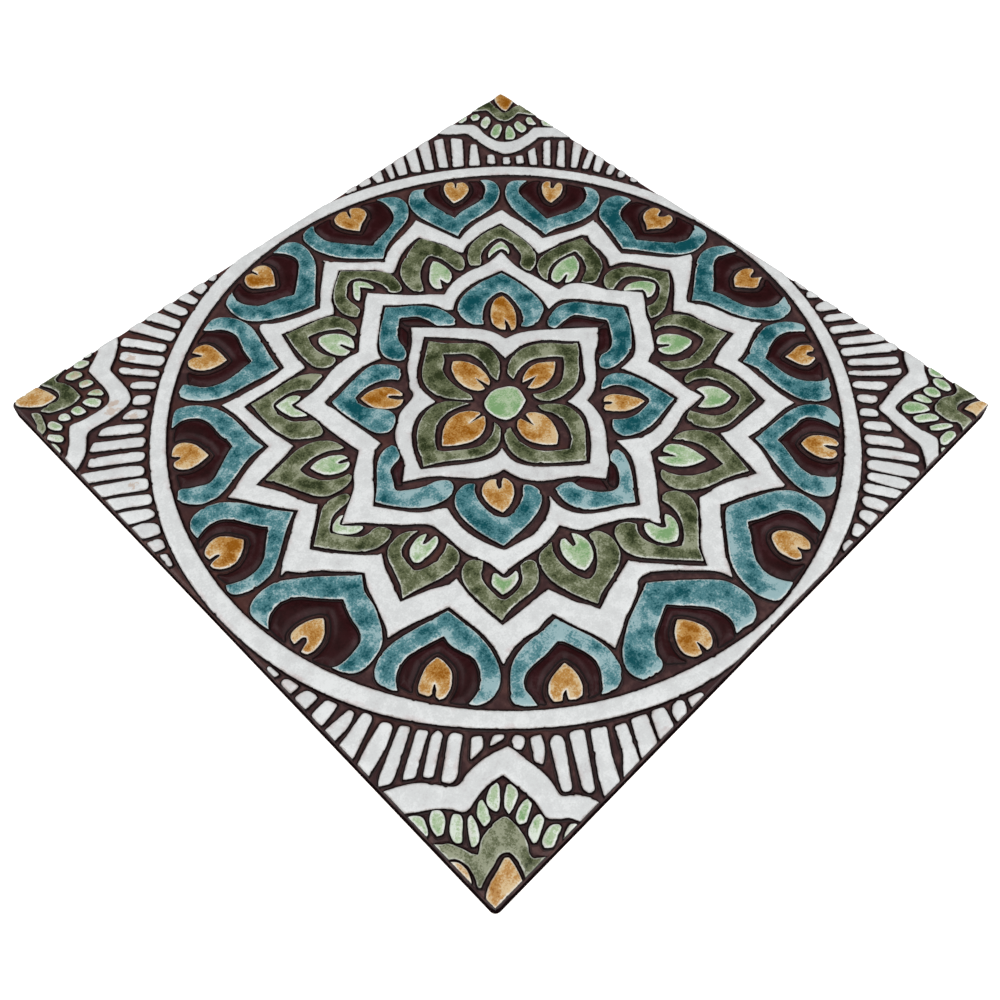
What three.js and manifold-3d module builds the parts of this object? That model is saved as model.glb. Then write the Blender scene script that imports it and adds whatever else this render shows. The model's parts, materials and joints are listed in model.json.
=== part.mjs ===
// A square handmade relief tile. A carved rosette of petals and stars stands in a ring,
// and a panel of spokes, beads and petals fills each corner. Millimetres, +Z up; the
// origin is the centre of the underside.
import * as THREE from 'three';
import { mergeVertices } from 'three/addons/utils/BufferGeometryUtils.js';
import Module from 'manifold-3d';

const wasm = await Module();
wasm.setup();

// Driving dimensions.
const SIDE = 300;
const THICKNESS = 9;
const RELIEF = 1.5;
const GROOVE = 2.8;
const MOAT = 2.5;
const CORNER_RADIUS = 2.5;
const EDGE_MARGIN = 0.7;
const RING_WIDTH = 7;
const RING_RADIUS = 151.5;

// The carving is drawn for a tile of this side, with grooves of this width. CHORD is how
// far a carved side may lie from its drawn points.
const DRAWN_SIDE = 300;
const DRAWN_GROOVE = 2.8;
const CHORD = 0.62;
const RING_STEPS = 3;

// How far the ring's hand-drawn edges stray from a true circle, every fifteen degrees
// anticlockwise from the right.
const OUTER_STRAY = [
  2.5, 1.9, 1.5, 0.9, 0, 0.1, 0, -0.1, -1.6, -2.5, -2.5, -2.3,
  -2.5, -2.3, -2.4, -2.9, -1.4, -0.1, -1.2, 1.9, 3, 2.3, 2.7, 2.8,
];
const INNER_STRAY = [
  3.6, 3, 2.5, 1.8, 0.5, 0, 0, -0.7, -1.6, -2, -2.4, -3.3,
  -3.3, -3.4, -3.5, -2.7, -1.6, -0.5, 1.8, 2.1, 2.7, 3.1, 3.7, 3.9,
];

const FLOOR = THICKNESS - RELIEF;
const SCALE = SIDE / DRAWN_SIDE;
const SHRINK = (GROOVE - DRAWN_GROOVE) / 2;
const SINK = FLOOR / 4;

// Drawing sheets over the face: the left and top of each in millimetres, and its units
// per millimetre. Outlines run right,down on the sheet that is named before them.
const SHEETS = {
  N1: [-5, 152, 14],
  E1: [70, 100, 14],
  E2: [70, 5, 14],
  S1: [-5, -70, 14],
  S2: [-100, -70, 14],
  W2: [-152, 5, 14],
  W1: [-152, 100, 14],
  N2: [-100, 152, 14],
  Q0: [-5, 105, 14],
  Q1: [-105, 105, 14],
  Q2: [-105, 5, 14],
  Q3: [-5, 5, 14],
  SW: [-152, -62, 13],
  NE: [62, 152, 13],
  SE: [62, -62, 13],
  NW: [-152, 152, 13],
};

// The sixteen outer petals, clockwise from the north.
const TEAL_OUTER = [
  `N1 385,715 300,630 200,520 150,430 118,330 117,250 125,200 165,155 235,141 252,150 225,195
    218,260 225,320 260,380 330,470 415,577 450,560 560,535 660,500 705,462 735,395 745,330 742,290
    730,257 760,265 835,320 855,370 850,430 815,490 740,555 610,595 470,650`,
  `N1 885,912 860,800 838,690 827,600 832,530 855,455 890,410 935,378 975,370 1040,410 1000,440
    975,500 968,560 975,660 990,770 1060,758 1240,768 1300,742 1345,705 1370,660 1378,618 1415,650
    1433,700 1425,745 1390,800 1330,845 1250,872 1150,880 1040,872 940,888`,
  `E1 265,592 270,500 272,400 285,270 310,190 350,120 400,75 450,52 495,65 530,95 556,125 500,130
    455,148 428,178 414,230 400,330 378,492 440,515 520,545 600,566 660,563 725,538 770,495 792,448
    818,490 823,540 800,590 740,640 665,668 590,672 520,662 440,635 350,600`,
  `E1 533,1052 560,980 600,880 622,800 645,742 690,695 770,655 840,652 895,680 926,740 925,776
    880,778 820,788 775,808 745,850 715,945 658,1058 720,1140 780,1215 830,1262 880,1290 915,1298
    965,1285 1010,1270 1045,1242 1053,1290 1045,1340 1000,1385 920,1403 850,1400 785,1372 730,1320
    650,1215 585,1115`,
  `E2 495,350 560,310 640,252 720,195 800,145 860,122 920,120 980,140 1030,178 1054,215 1050,272
    1000,248 960,232 915,218 855,238 790,290 720,348 655,395 678,460 690,560 710,630 750,690 820,745
    880,757 947,750 920,800 895,842 840,858 780,852 735,828 690,780 640,708 600,620 580,530 558,440
    530,385`,
  `E2 325,905 400,890 500,850 580,832 650,827 710,845 770,882 812,930 833,975 830,1003 800,1026
    765,990 725,955 680,935 625,930 560,942 500,965 445,985 440,1060 435,1130 445,1205 475,1270
    520,1320 555,1348 595,1352 560,1395 530,1410 500,1448 465,1457 425,1440 380,1400 345,1345
    328,1260 325,1160 340,1060 343,980`,
  `S1 960,278 940,370 900,480 870,600 860,670 870,740 900,800 945,832 1000,825 1045,800 1072,777
    1030,740 995,690 978,640 982,580 1010,500 1035,430 1045,378 1120,378 1200,385 1290,390 1332,430
    1360,490 1370,540 1380,577 1430,545 1456,470 1450,425 1415,370 1370,330 1300,302 1200,290
    1080,284`,
  `S1 462,470 410,500 340,562 262,640 205,700 165,770 143,850 138,930 158,1000 188,1040 255,1047
    310,1036 336,1029 300,970 280,905 285,850 310,790 350,740 410,680 468,609 540,650 620,680
    680,710 715,760 726,830 715,890 708,941 770,920 820,888 842,830 842,760 830,690 800,640 740,590
    650,545 560,505`,
  `S2 1095,468 1040,490 950,522 850,560 760,610 690,660 645,720 636,780 655,835 700,852 765,862
    800,840 812,795 840,755 885,712 950,682 1010,655 1072,630 1115,682 1170,740 1220,800 1246,860
    1250,930 1230,975 1205,1007 1260,1012 1320,1028 1372,1008 1412,960 1432,900 1430,830 1410,765
    1370,712 1300,642 1200,552`,
  `S2 592,270 500,273 400,265 320,270 250,290 190,330 140,380 98,425 90,462 112,502 165,550 175,500
    185,440 218,402 260,381 330,376 400,380 450,375 500,370 524,400 545,470 562,540 558,600 538,645
    498,692 443,739 475,757 520,769 572,755 620,712 645,650 657,590 650,500 630,420 608,345`,
  `W2 942,880 860,865 760,842 680,826 600,817 530,822 470,842 420,880 398,925 405,970 422,1012
    440,1037 462,1000 500,962 550,938 610,928 680,940 760,958 823,975 813,1040 828,1110 846,1170
    836,1222 800,1280 750,1322 700,1340 650,1347 672,1378 712,1400 770,1406 840,1380 890,1332
    928,1255 950,1170 957,1080 950,980`,
  `W2 760,388 700,338 620,262 540,192 480,146 410,100 340,82 270,85 210,108 180,150 176,210 189,292
    215,255 250,226 310,207 370,217 430,252 480,312 530,370 589,432 560,500 542,560 525,640 490,688
    440,706 370,716 310,712 284,696 310,760 352,808 420,822 500,806 562,778 612,718 650,650 680,580
    700,480 730,430`,
  `W1 752,1134 700,1068 640,980 600,905 550,842 500,792 440,762 380,750 315,763 278,800 262,850
    262,890 300,876 350,866 410,876 450,900 490,950 525,1015 560,1075 588,1110 540,1160 490,1212
    440,1260 390,1284 340,1292 280,1286 225,1264 190,1244 175,1290 192,1328 240,1356 300,1370
    380,1368 440,1350 500,1312 580,1250 660,1190`,
  `W1 918,648 908,560 915,450 916,340 905,270 880,200 840,140 790,92 745,68 705,63 655,105 612,156
    660,152 700,156 745,182 778,220 796,290 788,400 795,470 788,518 740,540 680,572 620,605 570,630
    525,633 470,607 430,585 392,555 372,553 335,600 345,640 372,682 412,720 470,740 520,746 600,728
    680,700 780,662 850,650`,
  `N2 628,968 650,860 680,750 705,650 717,580 710,510 690,450 650,395 600,356 555,356 515,370
    483,385 520,422 560,450 590,492 607,560 590,632 565,700 553,760 545,806 480,812 400,820 330,818
    262,800 210,765 175,720 152,680 131,656 75,690 65,722 80,770 120,822 170,868 230,905 300,925
    400,935 520,955`,
  `N2 1132,714 1190,640 1260,560 1330,480 1382,400 1408,320 1416,240 1402,190 1365,152 1320,139
    1260,149 1230,153 1265,195 1292,240 1306,300 1290,350 1240,410 1180,470 1130,518 1088,553
    1030,525 960,500 890,480 840,440 805,388 795,340 802,280 816,246 770,268 730,300 712,350 708,420
    722,490 762,550 820,597 900,642 1000,682 1080,706`,
];

// The dark hearts of the outer petals.
const OXBLOOD_OUTER = [
  `N1 245,170 236,240 240,310 275,372 345,458 420,548 540,522 655,487 695,450 720,390 730,330
    722,265 640,225 560,205 400,175 300,160`,
  `N1 1050,425 1012,460 990,510 985,560 992,660 1002,752 1060,742 1240,752 1290,730 1330,695
    1352,655 1360,610 1330,580 1260,520 1180,470 1100,430`,
  `E1 540,150 480,155 442,185 430,230 416,330 395,480 445,502 520,530 600,550 660,548 715,525
    755,485 778,440 740,370 690,280 640,210 590,160`,
  `E1 900,790 830,802 788,820 760,858 732,945 680,1055 735,1130 790,1200 840,1248 885,1275 915,1283
    965,1270 1010,1255 1035,1230 1030,1150 1015,1050 990,940 950,830`,
  `E2 1010,262 960,248 915,235 860,252 800,305 735,360 675,402 695,465 706,560 725,625 762,680
    825,728 880,740 940,732 970,640 1000,540 1015,440 1030,330`,
  `E2 790,1010 755,985 715,960 680,950 625,945 565,957 505,980 460,995 455,1060 450,1130 460,1200
    488,1260 530,1308 570,1330 640,1270 700,1190 750,1110 785,1050`,
  `S1 1050,755 1010,690 994,640 998,580 1026,500 1050,430 1060,395 1120,393 1200,400 1285,407
    1320,440 1345,495 1358,560 1350,590 1280,655 1200,710 1120,755`,
  `S1 350,1018 316,965 296,900 300,855 325,800 362,752 420,695 470,638 540,668 615,697 672,726
    702,768 710,830 700,890 692,940 620,970 540,990 440,1008`,
  `S2 815,855 826,805 853,767 895,726 955,697 1015,670 1070,648 1105,692 1158,752 1206,810 1230,865
    1235,930 1215,975 1185,1012 1100,995 1000,968 900,930`,
  `S2 180,545 190,505 200,447 230,414 265,396 330,391 400,395 450,390 492,386 510,408 530,475
    547,540 543,598 524,637 487,680 440,722 360,690 280,645`,
  `W2 470,1015 512,975 556,952 612,943 678,955 755,973 806,987 798,1040 813,1110 830,1170 820,1215
    788,1268 742,1308 700,1325 640,1330 585,1260 530,1180 490,1090`,
  `W2 205,280 225,265 258,240 310,223 365,231 420,264 468,322 520,382 572,433 546,497 527,556
    510,635 480,675 437,691 370,701 300,694 262,640 232,540 210,420 200,330`,
  `W1 250,905 305,890 352,880 405,890 440,912 478,960 512,1022 546,1085 570,1110 530,1150 480,1200
    432,1246 386,1269 340,1277 284,1271 232,1250 205,1225 200,1130 215,1020`,
  `W1 640,168 700,171 737,194 764,228 781,292 773,400 780,470 774,506 733,526 672,558 612,590
    566,614 525,617 478,592 440,570 400,540 440,450 500,340 570,240`,
  `N2 500,405 510,425 548,462 576,500 592,560 575,625 549,696 538,755 530,792 480,797 400,805
    332,803 270,786 220,753 188,710 165,670 210,600 280,530 360,470 440,420`,
  `N2 1215,160 1250,202 1276,246 1290,300 1276,343 1228,400 1168,459 1120,506 1085,533 1035,510
    965,485 897,466 852,430 820,382 811,340 818,285 835,245 920,210 1040,178 1130,165`,
];

// The drops in the dark hearts.
const AMBER_OUTER = [
  `N1 445,405 400,340 378,285 376,240 395,200 440,178 485,182 505,200 490,235 478,270 500,250
    522,205 545,195 585,225 600,265 592,305 560,335 500,365`,
  `N1 1085,660 1092,600 1110,545 1150,490 1190,473 1225,495 1222,520 1195,555 1200,562 1240,525
    1275,548 1280,585 1255,630 1210,655 1150,668`,
  `E1 515,402 513,365 530,320 560,270 610,228 645,225 667,250 640,275 622,295 630,312 665,298
    700,295 705,320 680,355 620,390 560,400`,
  `E1 783,1045 820,1005 845,960 880,932 930,922 975,935 997,965 990,990 940,1005 938,1020 965,1045
    1000,1055 1000,1085 970,1110 920,1115 870,1112 840,1085 810,1060`,
  `E2 790,470 820,440 850,415 900,403 950,408 985,430 1000,455 985,470 940,478 925,492 950,515
    985,540 960,545 905,570 880,572 850,545 820,510`,
  `E2 543,1065 600,1070 660,1068 700,1085 728,1115 725,1150 705,1160 670,1140 648,1150 655,1175
    672,1195 660,1210 600,1210 565,1180 550,1120`,
  `S1 1120,492 1170,490 1220,505 1265,555 1288,610 1280,650 1255,655 1225,610 1205,595 1208,630
    1225,665 1210,690 1170,690 1130,650 1112,600 1110,540`,
  `S1 515,760 550,775 595,830 612,890 605,940 575,968 545,945 535,910 527,912 515,950 490,972
    460,950 440,890 440,850 460,800 485,770`,
  `S2 1045,732 1075,765 1105,820 1115,870 1100,920 1060,960 1020,960 1022,900 1015,890 1000,930
    985,955 945,940 920,900 922,860 945,810 985,765`,
  `S2 435,482 440,530 430,590 405,640 370,672 330,665 300,640 320,610 335,592 310,595 275,622
    245,600 240,570 265,530 310,500 370,488`,
  `W2 715,1040 722,1090 712,1150 680,1190 640,1220 590,1235 560,1225 555,1200 590,1165 605,1145
    590,1145 555,1175 530,1170 510,1125 530,1095 600,1055 660,1038`,
  `W2 440,445 410,490 370,530 320,552 270,557 240,545 228,515 250,505 290,490 300,470 285,455
    230,455 235,425 260,395 310,388 370,400 410,420`,
  `W1 438,1080 420,1105 380,1140 330,1165 290,1170 240,1150 210,1115 203,1085 230,1075 280,1072
    285,1062 265,1052 225,1050 225,1010 250,980 300,962 350,968 395,1010`,
  `W1 650,472 648,420 640,360 615,310 575,280 530,285 490,325 500,340 525,365 515,375 475,370
    457,395 465,430 500,465 550,480 610,478`,
  `N2 442,688 447,620 445,540 430,500 400,478 360,472 320,490 340,520 355,550 345,555 300,525
    265,525 242,560 250,605 290,655 340,680 400,690`,
  `N2 1050,402 1080,360 1110,310 1128,260 1120,215 1095,188 1050,178 1028,185 1035,235 1028,245
    1015,205 975,195 940,220 922,270 930,310 970,350 1010,375`,
];

// Leaf green petals of the second ring, of the centre and of the corners.
const LEAVES = [
  `N2 1400,725 1355,765 1318,805 1308,850 1310,900 1306,950 1280,975 1252,988 1232,965 1208,905
    1212,840 1235,780 1290,712 1365,650 N1 108,603 200,690 250,742 300,800 325,850 322,910 308,970
    290,1005 265,1016 235,1000 215,968 222,930 222,880 205,830 180,775 150,735 108,715`,
  `Q0 680,95 600,112 520,145 430,190 375,240 345,300 330,370 332,420 350,445 378,460 400,430
    430,380 470,330 530,285 600,255 630,262 655,320 662,390 660,450 668,490 690,505 730,480 765,430
    770,370 765,300 750,240 725,170 700,110`,
  `Q0 1160,385 1080,368 1000,362 920,370 850,395 800,435 762,490 755,515 790,548 808,555 835,530
    860,500 900,475 960,458 1040,455 1070,465 1085,500 1088,560 1080,620 1065,670 1030,710 1000,730
    985,760 985,800 1000,828 1060,810 1110,770 1145,720 1170,620 1172,520 1168,440`,
  `Q0 1465,858 1380,830 1290,800 1200,788 1120,795 1060,830 1025,880 1010,930 1020,965 1060,930
    1120,895 1200,885 1280,895 1340,912 1330,980 1300,1040 1260,1085 1210,1110 1165,1130 1190,1175
    1230,1195 1300,1170 1370,1130 1420,1050 1445,960`,
  `E1 580,1408 540,1340 500,1272 440,1195 380,1152 310,1130 250,1143 207,1178 190,1220 212,1257
    262,1240 325,1233 370,1248 420,1300 450,1352 463,1400 E2 450,112 415,148 365,178 310,190 255,180
    222,215 195,262 230,277 300,277 360,252 430,210 500,160 545,118`,
  `Q3 1490,688 1400,700 1320,716 1240,732 1160,726 1085,693 1025,645 1003,600 1008,540 1040,565
    1075,605 1130,638 1190,650 1260,645 1320,628 1350,608 1350,550 1335,480 1305,415 1265,375
    1220,352 1190,348 1205,328 1250,315 1310,318 1365,340 1410,390 1440,450 1455,530 1470,610`,
  `Q3 1198,1148 1100,1150 1000,1152 920,1145 850,1108 803,1050 782,990 790,948 815,930 847,922
    868,965 895,1015 935,1060 990,1085 1060,1090 1110,1082 1145,1062 1155,990 1152,920 1130,860
    1092,812 1050,785 1000,775 995,760 1020,735 1065,728 1115,740 1165,772 1208,822 1235,885
    1244,960 1235,1045 1215,1100`,
  `Q3 750,1450 690,1418 620,1388 540,1365 460,1335 400,1290 358,1235 343,1180 352,1130 375,1098
    400,1085 412,1130 440,1185 490,1235 550,1272 620,1300 682,1312 692,1250 700,1180 690,1110
    655,1045 612,985 660,985 710,1003 755,1035 792,1085 815,1140 810,1210 790,1300 770,1380`,
  `S1 95,602 140,530 200,478 270,415 330,362 362,305 368,250 348,200 310,165 268,153 238,178
    242,235 235,285 208,345 168,395 125,432 85,452 S2 1380,430 1340,378 1308,320 1298,270 1310,220
    1345,178 1310,130 1262,110 1218,128 1185,180 1168,250 1185,320 1235,388 1300,462 1370,540
    1425,600`,
  `Q2 885,1420 850,1330 825,1240 812,1150 822,1080 848,1015 890,982 950,976 990,975 958,1015
    935,1065 925,1130 930,1200 948,1265 972,1288 1020,1278 1070,1245 1115,1200 1150,1145 1172,1087
    1215,1098 1240,1135 1247,1195 1225,1265 1185,1312 1115,1350 1030,1372 950,1390`,
  `Q2 447,1128 445,1040 445,950 450,860 468,805 508,755 560,735 600,750 632,795 600,822 560,855
    540,900 533,960 533,1025 548,1052 610,1057 665,1050 705,1028 735,990 760,958 800,958 828,980
    830,1010 795,1065 745,1103 685,1118 600,1112 520,1113`,
  `Q2 160,655 205,590 240,500 268,420 305,370 360,348 425,345 475,365 510,395 450,393 395,405
    350,435 330,490 323,570 355,592 410,608 470,610 530,595 572,568 580,610 576,655 545,695 485,716
    420,712 350,697 280,677 215,662`,
  `W1 688,1390 750,1340 820,1280 880,1235 935,1217 1000,1227 1045,1250 1052,1280 1010,1300 950,1302
    895,1312 850,1342 815,1378 810,1395 W2 822,75 850,125 885,170 920,202 960,213 1015,212 1050,245
    1063,290 1040,312 980,322 915,312 855,275 800,215 740,135`,
  `Q1 115,917 200,905 300,890 380,880 450,890 510,915 560,960 585,1010 590,1060 560,1050 520,1020
    470,1000 420,990 350,990 305,1000 305,1040 320,1100 350,1150 400,1195 450,1215 495,1225 485,1255
    440,1275 370,1275 300,1255 250,1200 215,1120 180,1040 150,970`,
  `Q1 402,415 480,425 570,430 660,432 730,442 790,470 830,503 853,532 848,552 790,562 730,578
    705,560 670,530 630,512 570,505 510,508 485,530 475,580 478,640 495,690 540,735 580,765 598,790
    595,840 580,885 550,893 500,870 450,830 410,790 390,720 382,640 388,540 395,470`,
  `Q1 905,122 980,140 1060,160 1140,180 1200,205 1240,250 1262,310 1262,370 1240,420 1205,440
    1195,415 1195,370 1175,330 1140,300 1090,270 1040,250 990,240 970,290 960,350 965,410 985,460
    1000,490 985,515 930,525 890,500 862,450 860,370 870,280 885,200`,
  `SW 30,745 60,775 85,795 110,850 125,895 140,920 165,905 200,882 240,873 300,870 340,880 352,900
    352,950 345,1000 330,1040 305,1075 300,1095 320,1115 350,1140 215,1142 235,1100 250,1050
    248,1010 215,988 160,1000 95,1015 50,1032 45,1020 60,990 75,935 70,890 55,860 30,840`,
  `NE 850,38 890,65 925,90 935,120 925,170 920,215 930,255 960,278 1010,280 1060,270 1080,290
    1105,335 1135,375 1135,215 1080,205 1040,212 1005,205 993,185 1000,130 1005,80 1015,45 950,38`,
  `SE 885,950 920,930 970,925 1010,935 1050,960 1090,960 1120,930 1135,910 1135,1060 1100,1050
    1050,1025 1000,1020 975,1035 975,1090 970,1142 870,1142 900,1110 905,1080 885,1060 878,1010`,
  `NW 215,32 290,28 350,28 405,30 340,45 305,60 295,85 320,120 335,160 338,220 335,270 300,282
    250,285 200,270 150,250 120,210 118,200 180,195 220,205 250,185 260,150 248,100 228,60`,
  `NW 72,180 100,205 102,240 90,275 75,325 50,345 30,350 28,310 45,280 60,230 66,195`,
  `MM 2.7,47.7 -4,42.5 -11,37 -15,31.5 -16.2,26 -15,20 -11,14 -6.5,9.5 -5.5,12 -6.5,18 -6.3,25
    -4.5,30.5 0,34.5 2,37.5 5,34.5 9,31 11,27 10.7,20 8.5,13 8.7,9.5 13.5,13 17.5,18 19,24 18,30
    13,35.5 7,41.5`,
  `MM 49.2,-0.3 45,3 40.8,8 35.8,12.2 30,14.5 24.2,14.7 19.2,13 15,9.7 14,5.1 16.7,6.3 21.7,7.6
    27.5,7.3 32.1,4.7 36.3,1.3 38.8,-1.6 36.7,-4.1 32.5,-7.8 27.5,-10.8 22.5,-10.8 17.5,-9.1
    14.2,-6.8 13.5,-9.5 15.8,-13.7 20.8,-16.2 26.7,-16.8 32.1,-15.8 37.5,-12.4 42.5,-7.4 46.7,-3.7`,
  `MM 4.6,-47.4 10.8,-41.2 16.7,-35.3 19.8,-29.5 20.2,-23.7 18.8,-19.5 15,-15.3 11.3,-12.7
    10.7,-15.3 12.9,-20.3 13.1,-25.3 11.3,-31.2 8.3,-35.3 4.2,-38.3 0,-35.3 -4.6,-31.2 -7.3,-26.2
    -7.9,-20.3 -6.7,-15.3 -5.4,-12.4 -8.3,-12.4 -12.1,-16.2 -14.3,-22 -14.2,-27 -12.1,-32 -7.5,-37
    -1.7,-42`,
  `MM -45.7,-1.6 -43.3,2.2 -40.8,7.2 -36.7,12.2 -31.7,16.3 -25.8,18.7 -20.8,19 -15.8,17.2 -11.7,13
    -9,8.8 -13.3,10.7 -18.3,11.8 -24.2,11.3 -29.2,8.8 -33.3,4.7 -36,0.5 -34.2,-2 -30,-5.3 -25.8,-8.5
    -20.8,-10.8 -15.8,-10.3 -11.7,-8.7 -8.5,-5.8 -8.8,-9.5 -11.7,-12.8 -15,-15.2 -20,-16.2 -25,-14.9
    -30,-12 -35,-7.8 -40.8,-4.1`,
];

// Mint drops in the green petals, the centre and the beads of the corners.
const MINT_DROPS = [
  `N2 1400,848 1375,875 1352,890 1345,865 1358,830 1385,795 1412,760 N1 108,738 140,762 162,800
    170,845 168,865 158,876 145,860 130,835 106,800`,
  `Q0 605,308 565,328 505,380 462,430 445,480 452,512 480,532 500,500 527,458 530,500 535,522
    560,522 600,495 622,450 628,390 622,340`,
  `Q0 1055,492 1000,488 950,500 910,520 885,548 930,540 980,540 1010,550 1015,580 1005,615 1030,600
    1050,560 1058,520`,
  `Q0 1305,935 1260,915 1190,910 1120,925 1065,955 1040,990 1045,1025 1080,1030 1140,1015 1150,1022
    1110,1045 1080,1062 1110,1080 1170,1075 1230,1045 1280,1000`,
  `E1 440,1405 420,1360 380,1322 330,1298 280,1295 250,1310 290,1345 318,1365 345,1392 E2 342,85
    330,105 313,130 350,138 400,122 430,98`,
  `Q3 1285,570 1278,520 1245,455 1205,415 1165,400 1130,412 1108,435 1135,465 1162,490 1150,500
    1115,478 1085,462 1075,490 1090,535 1135,572 1200,586 1255,585`,
  `Q3 1108,1030 1050,1037 995,1022 950,990 920,960 905,935 950,930 995,920 1003,880 1000,843
    1040,855 1080,885 1105,930 1113,980`,
  `Q3 643,1220 590,1208 530,1180 480,1135 447,1080 437,1030 452,1010 490,1045 532,1088 520,1050
    500,1005 545,990 585,1012 618,1060 636,1120`,
  `S1 88,412 130,392 168,355 190,312 190,270 178,248 155,265 118,312 95,295 82,250 70,222 45,210
    20,235 5,280 8,335 35,380`,
  `Q2 985,1230 970,1190 965,1130 975,1075 1005,1025 1040,1000 1060,1010 1055,1045 1052,1080
    1075,1082 1090,1050 1110,1010 1130,1045 1138,1100 1120,1160 1085,1202 1035,1225`,
  `Q2 560,1020 560,970 565,930 590,905 620,890 632,905 635,940 650,962 690,965 718,962 715,985
    690,1010 650,1025 600,1028`,
  `Q2 530,440 490,428 440,435 395,455 365,490 355,530 375,550 430,555 490,548 540,530 562,500
    555,487 520,490 475,487 470,475 500,462 530,450`,
  `W1 830,1385 850,1362 885,1346 925,1340 942,1352 905,1365 882,1385 W2 895,75 930,112 965,145
    968,160 940,168 900,155 865,125 840,95 828,65`,
  `Q1 355,1035 400,1025 460,1035 510,1060 550,1100 558,1135 520,1120 490,1118 500,1135 545,1155
    540,1175 500,1190 440,1175 390,1135 365,1085`,
  `Q1 500,530 560,528 610,535 640,555 655,585 620,595 575,590 570,620 580,660 590,700 590,725
    555,700 520,665 502,610 498,565`,
  `Q1 1035,295 1070,300 1120,330 1155,370 1175,420 1170,470 1140,515 1130,510 1115,470 1100,430
    1085,435 1095,480 1105,520 1060,525 1025,490 1003,430 1000,370 1010,320`,
  `MM 11.7,-0.3 10.4,3 7.5,5.1 3.3,6.8 -1.7,5.9 -5,3.8 -6.3,-1.2 -4.6,-7.8 -0.8,-9.7 4.2,-9.1
    9.6,-7`,
  `SW 30,575 55,590 78,620 70,660 45,700 30,705`,
  `SW 68,735 75,690 100,650 130,632 155,655 158,680 135,715 95,745`,
  `SW 105,800 125,755 160,725 190,710 208,735 200,760 160,800 130,830 115,825`,
  `SW 145,875 165,840 195,800 225,770 243,770 235,810 215,850 185,880 155,885`,
  `SW 248,850 255,800 280,770 310,752 328,755 315,800 290,845 265,852`,
  `SW 332,840 325,795 345,765 390,742 430,745 425,765 395,800 350,840`,
  `SW 365,888 375,850 410,815 455,785 470,795 470,830 455,855 400,880`,
  `SW 365,955 368,930 400,905 445,893 475,895 475,925 440,945 395,968`,
  `SW 348,1055 365,1010 400,988 450,978 468,985 460,1015 415,1040 365,1062`,
  `SW 370,1105 380,1080 420,1060 465,1055 493,1075 490,1095 450,1110 400,1130`,
  `SW 455,1140 490,1120 530,1112 550,1130 545,1142 470,1142`,
  `NE 705,55 740,48 790,45 770,70 720,75`,
  `NE 790,110 800,75 830,68 860,85 855,115 820,130`,
  `NE 790,200 795,180 840,150 885,142 895,160 870,200 820,225 790,230`,
  `NE 770,350 775,300 820,265 870,250 895,265 880,300 830,335 785,355`,
  `NE 810,405 850,365 890,330 925,315 928,345 905,400 870,435 845,438`,
  `NE 935,430 940,370 965,335 1005,325 1005,365 995,420 965,438`,
  `NE 1030,400 1050,360 1080,345 1095,365 1080,410 1070,440 1050,430`,
  `NE 1095,480 1110,450 1135,430 1135,540 1110,510`,
  `SE 755,835 770,808 800,800 840,815 870,860 880,900 870,930 845,920 800,890 765,860`,
  `SE 872,815 895,803 925,825 935,870 930,905 905,895 880,850`,
  `SE 950,850 960,822 990,822 1020,850 1020,890 1000,912 980,910 955,880`,
  `SE 1045,840 1065,815 1090,825 1105,860 1100,900 1080,930 1055,925 1040,890`,
  `SE 1085,785 1110,755 1135,755 1135,850 1115,845 1090,810`,
  `SE 745,910 760,888 800,905 840,935 860,965 860,995 840,998 790,965 750,935`,
  `SE 752,1010 770,990 810,1010 850,1040 870,1070 860,1085 830,1070 780,1040`,
  `SE 710,1105 735,1080 780,1075 820,1085 835,1110 820,1130 770,1130 725,1125`,
  `NW 425,60 440,40 480,40 500,60 515,85 500,100 470,100 440,85`,
  `NW 345,100 365,80 400,80 425,100 435,130 425,150 400,145 365,135`,
  `NW 368,205 385,180 415,185 440,205 445,235 430,242 395,232 375,225`,
  `NW 368,285 390,278 420,285 443,310 440,345 425,350 400,325 380,300`,
  `NW 315,315 340,308 370,320 400,360 400,385 375,400 355,400 330,365`,
  `NW 235,322 265,312 290,325 298,360 298,388 270,385 245,370 235,345`,
  `NW 158,315 180,300 205,310 215,340 210,365 195,368 170,350 158,335`,
  `NW 85,320 105,302 125,310 145,360 145,385 125,398 105,380 88,350`,
  `NW 35,395 60,375 80,395 105,430 105,460 90,472 70,460 50,430`,
  `NW 28,435 45,450 52,490 45,520 30,530`,
  `MM 113.2,-149.8 113.7,-148.8 114.8,-148 116,-148.6 116.3,-149.8`,
  `MM -113.2,149.8 -112.4,148.5 -110.8,147.7 -109.2,148.3 -108.4,149.8`,
];

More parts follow.
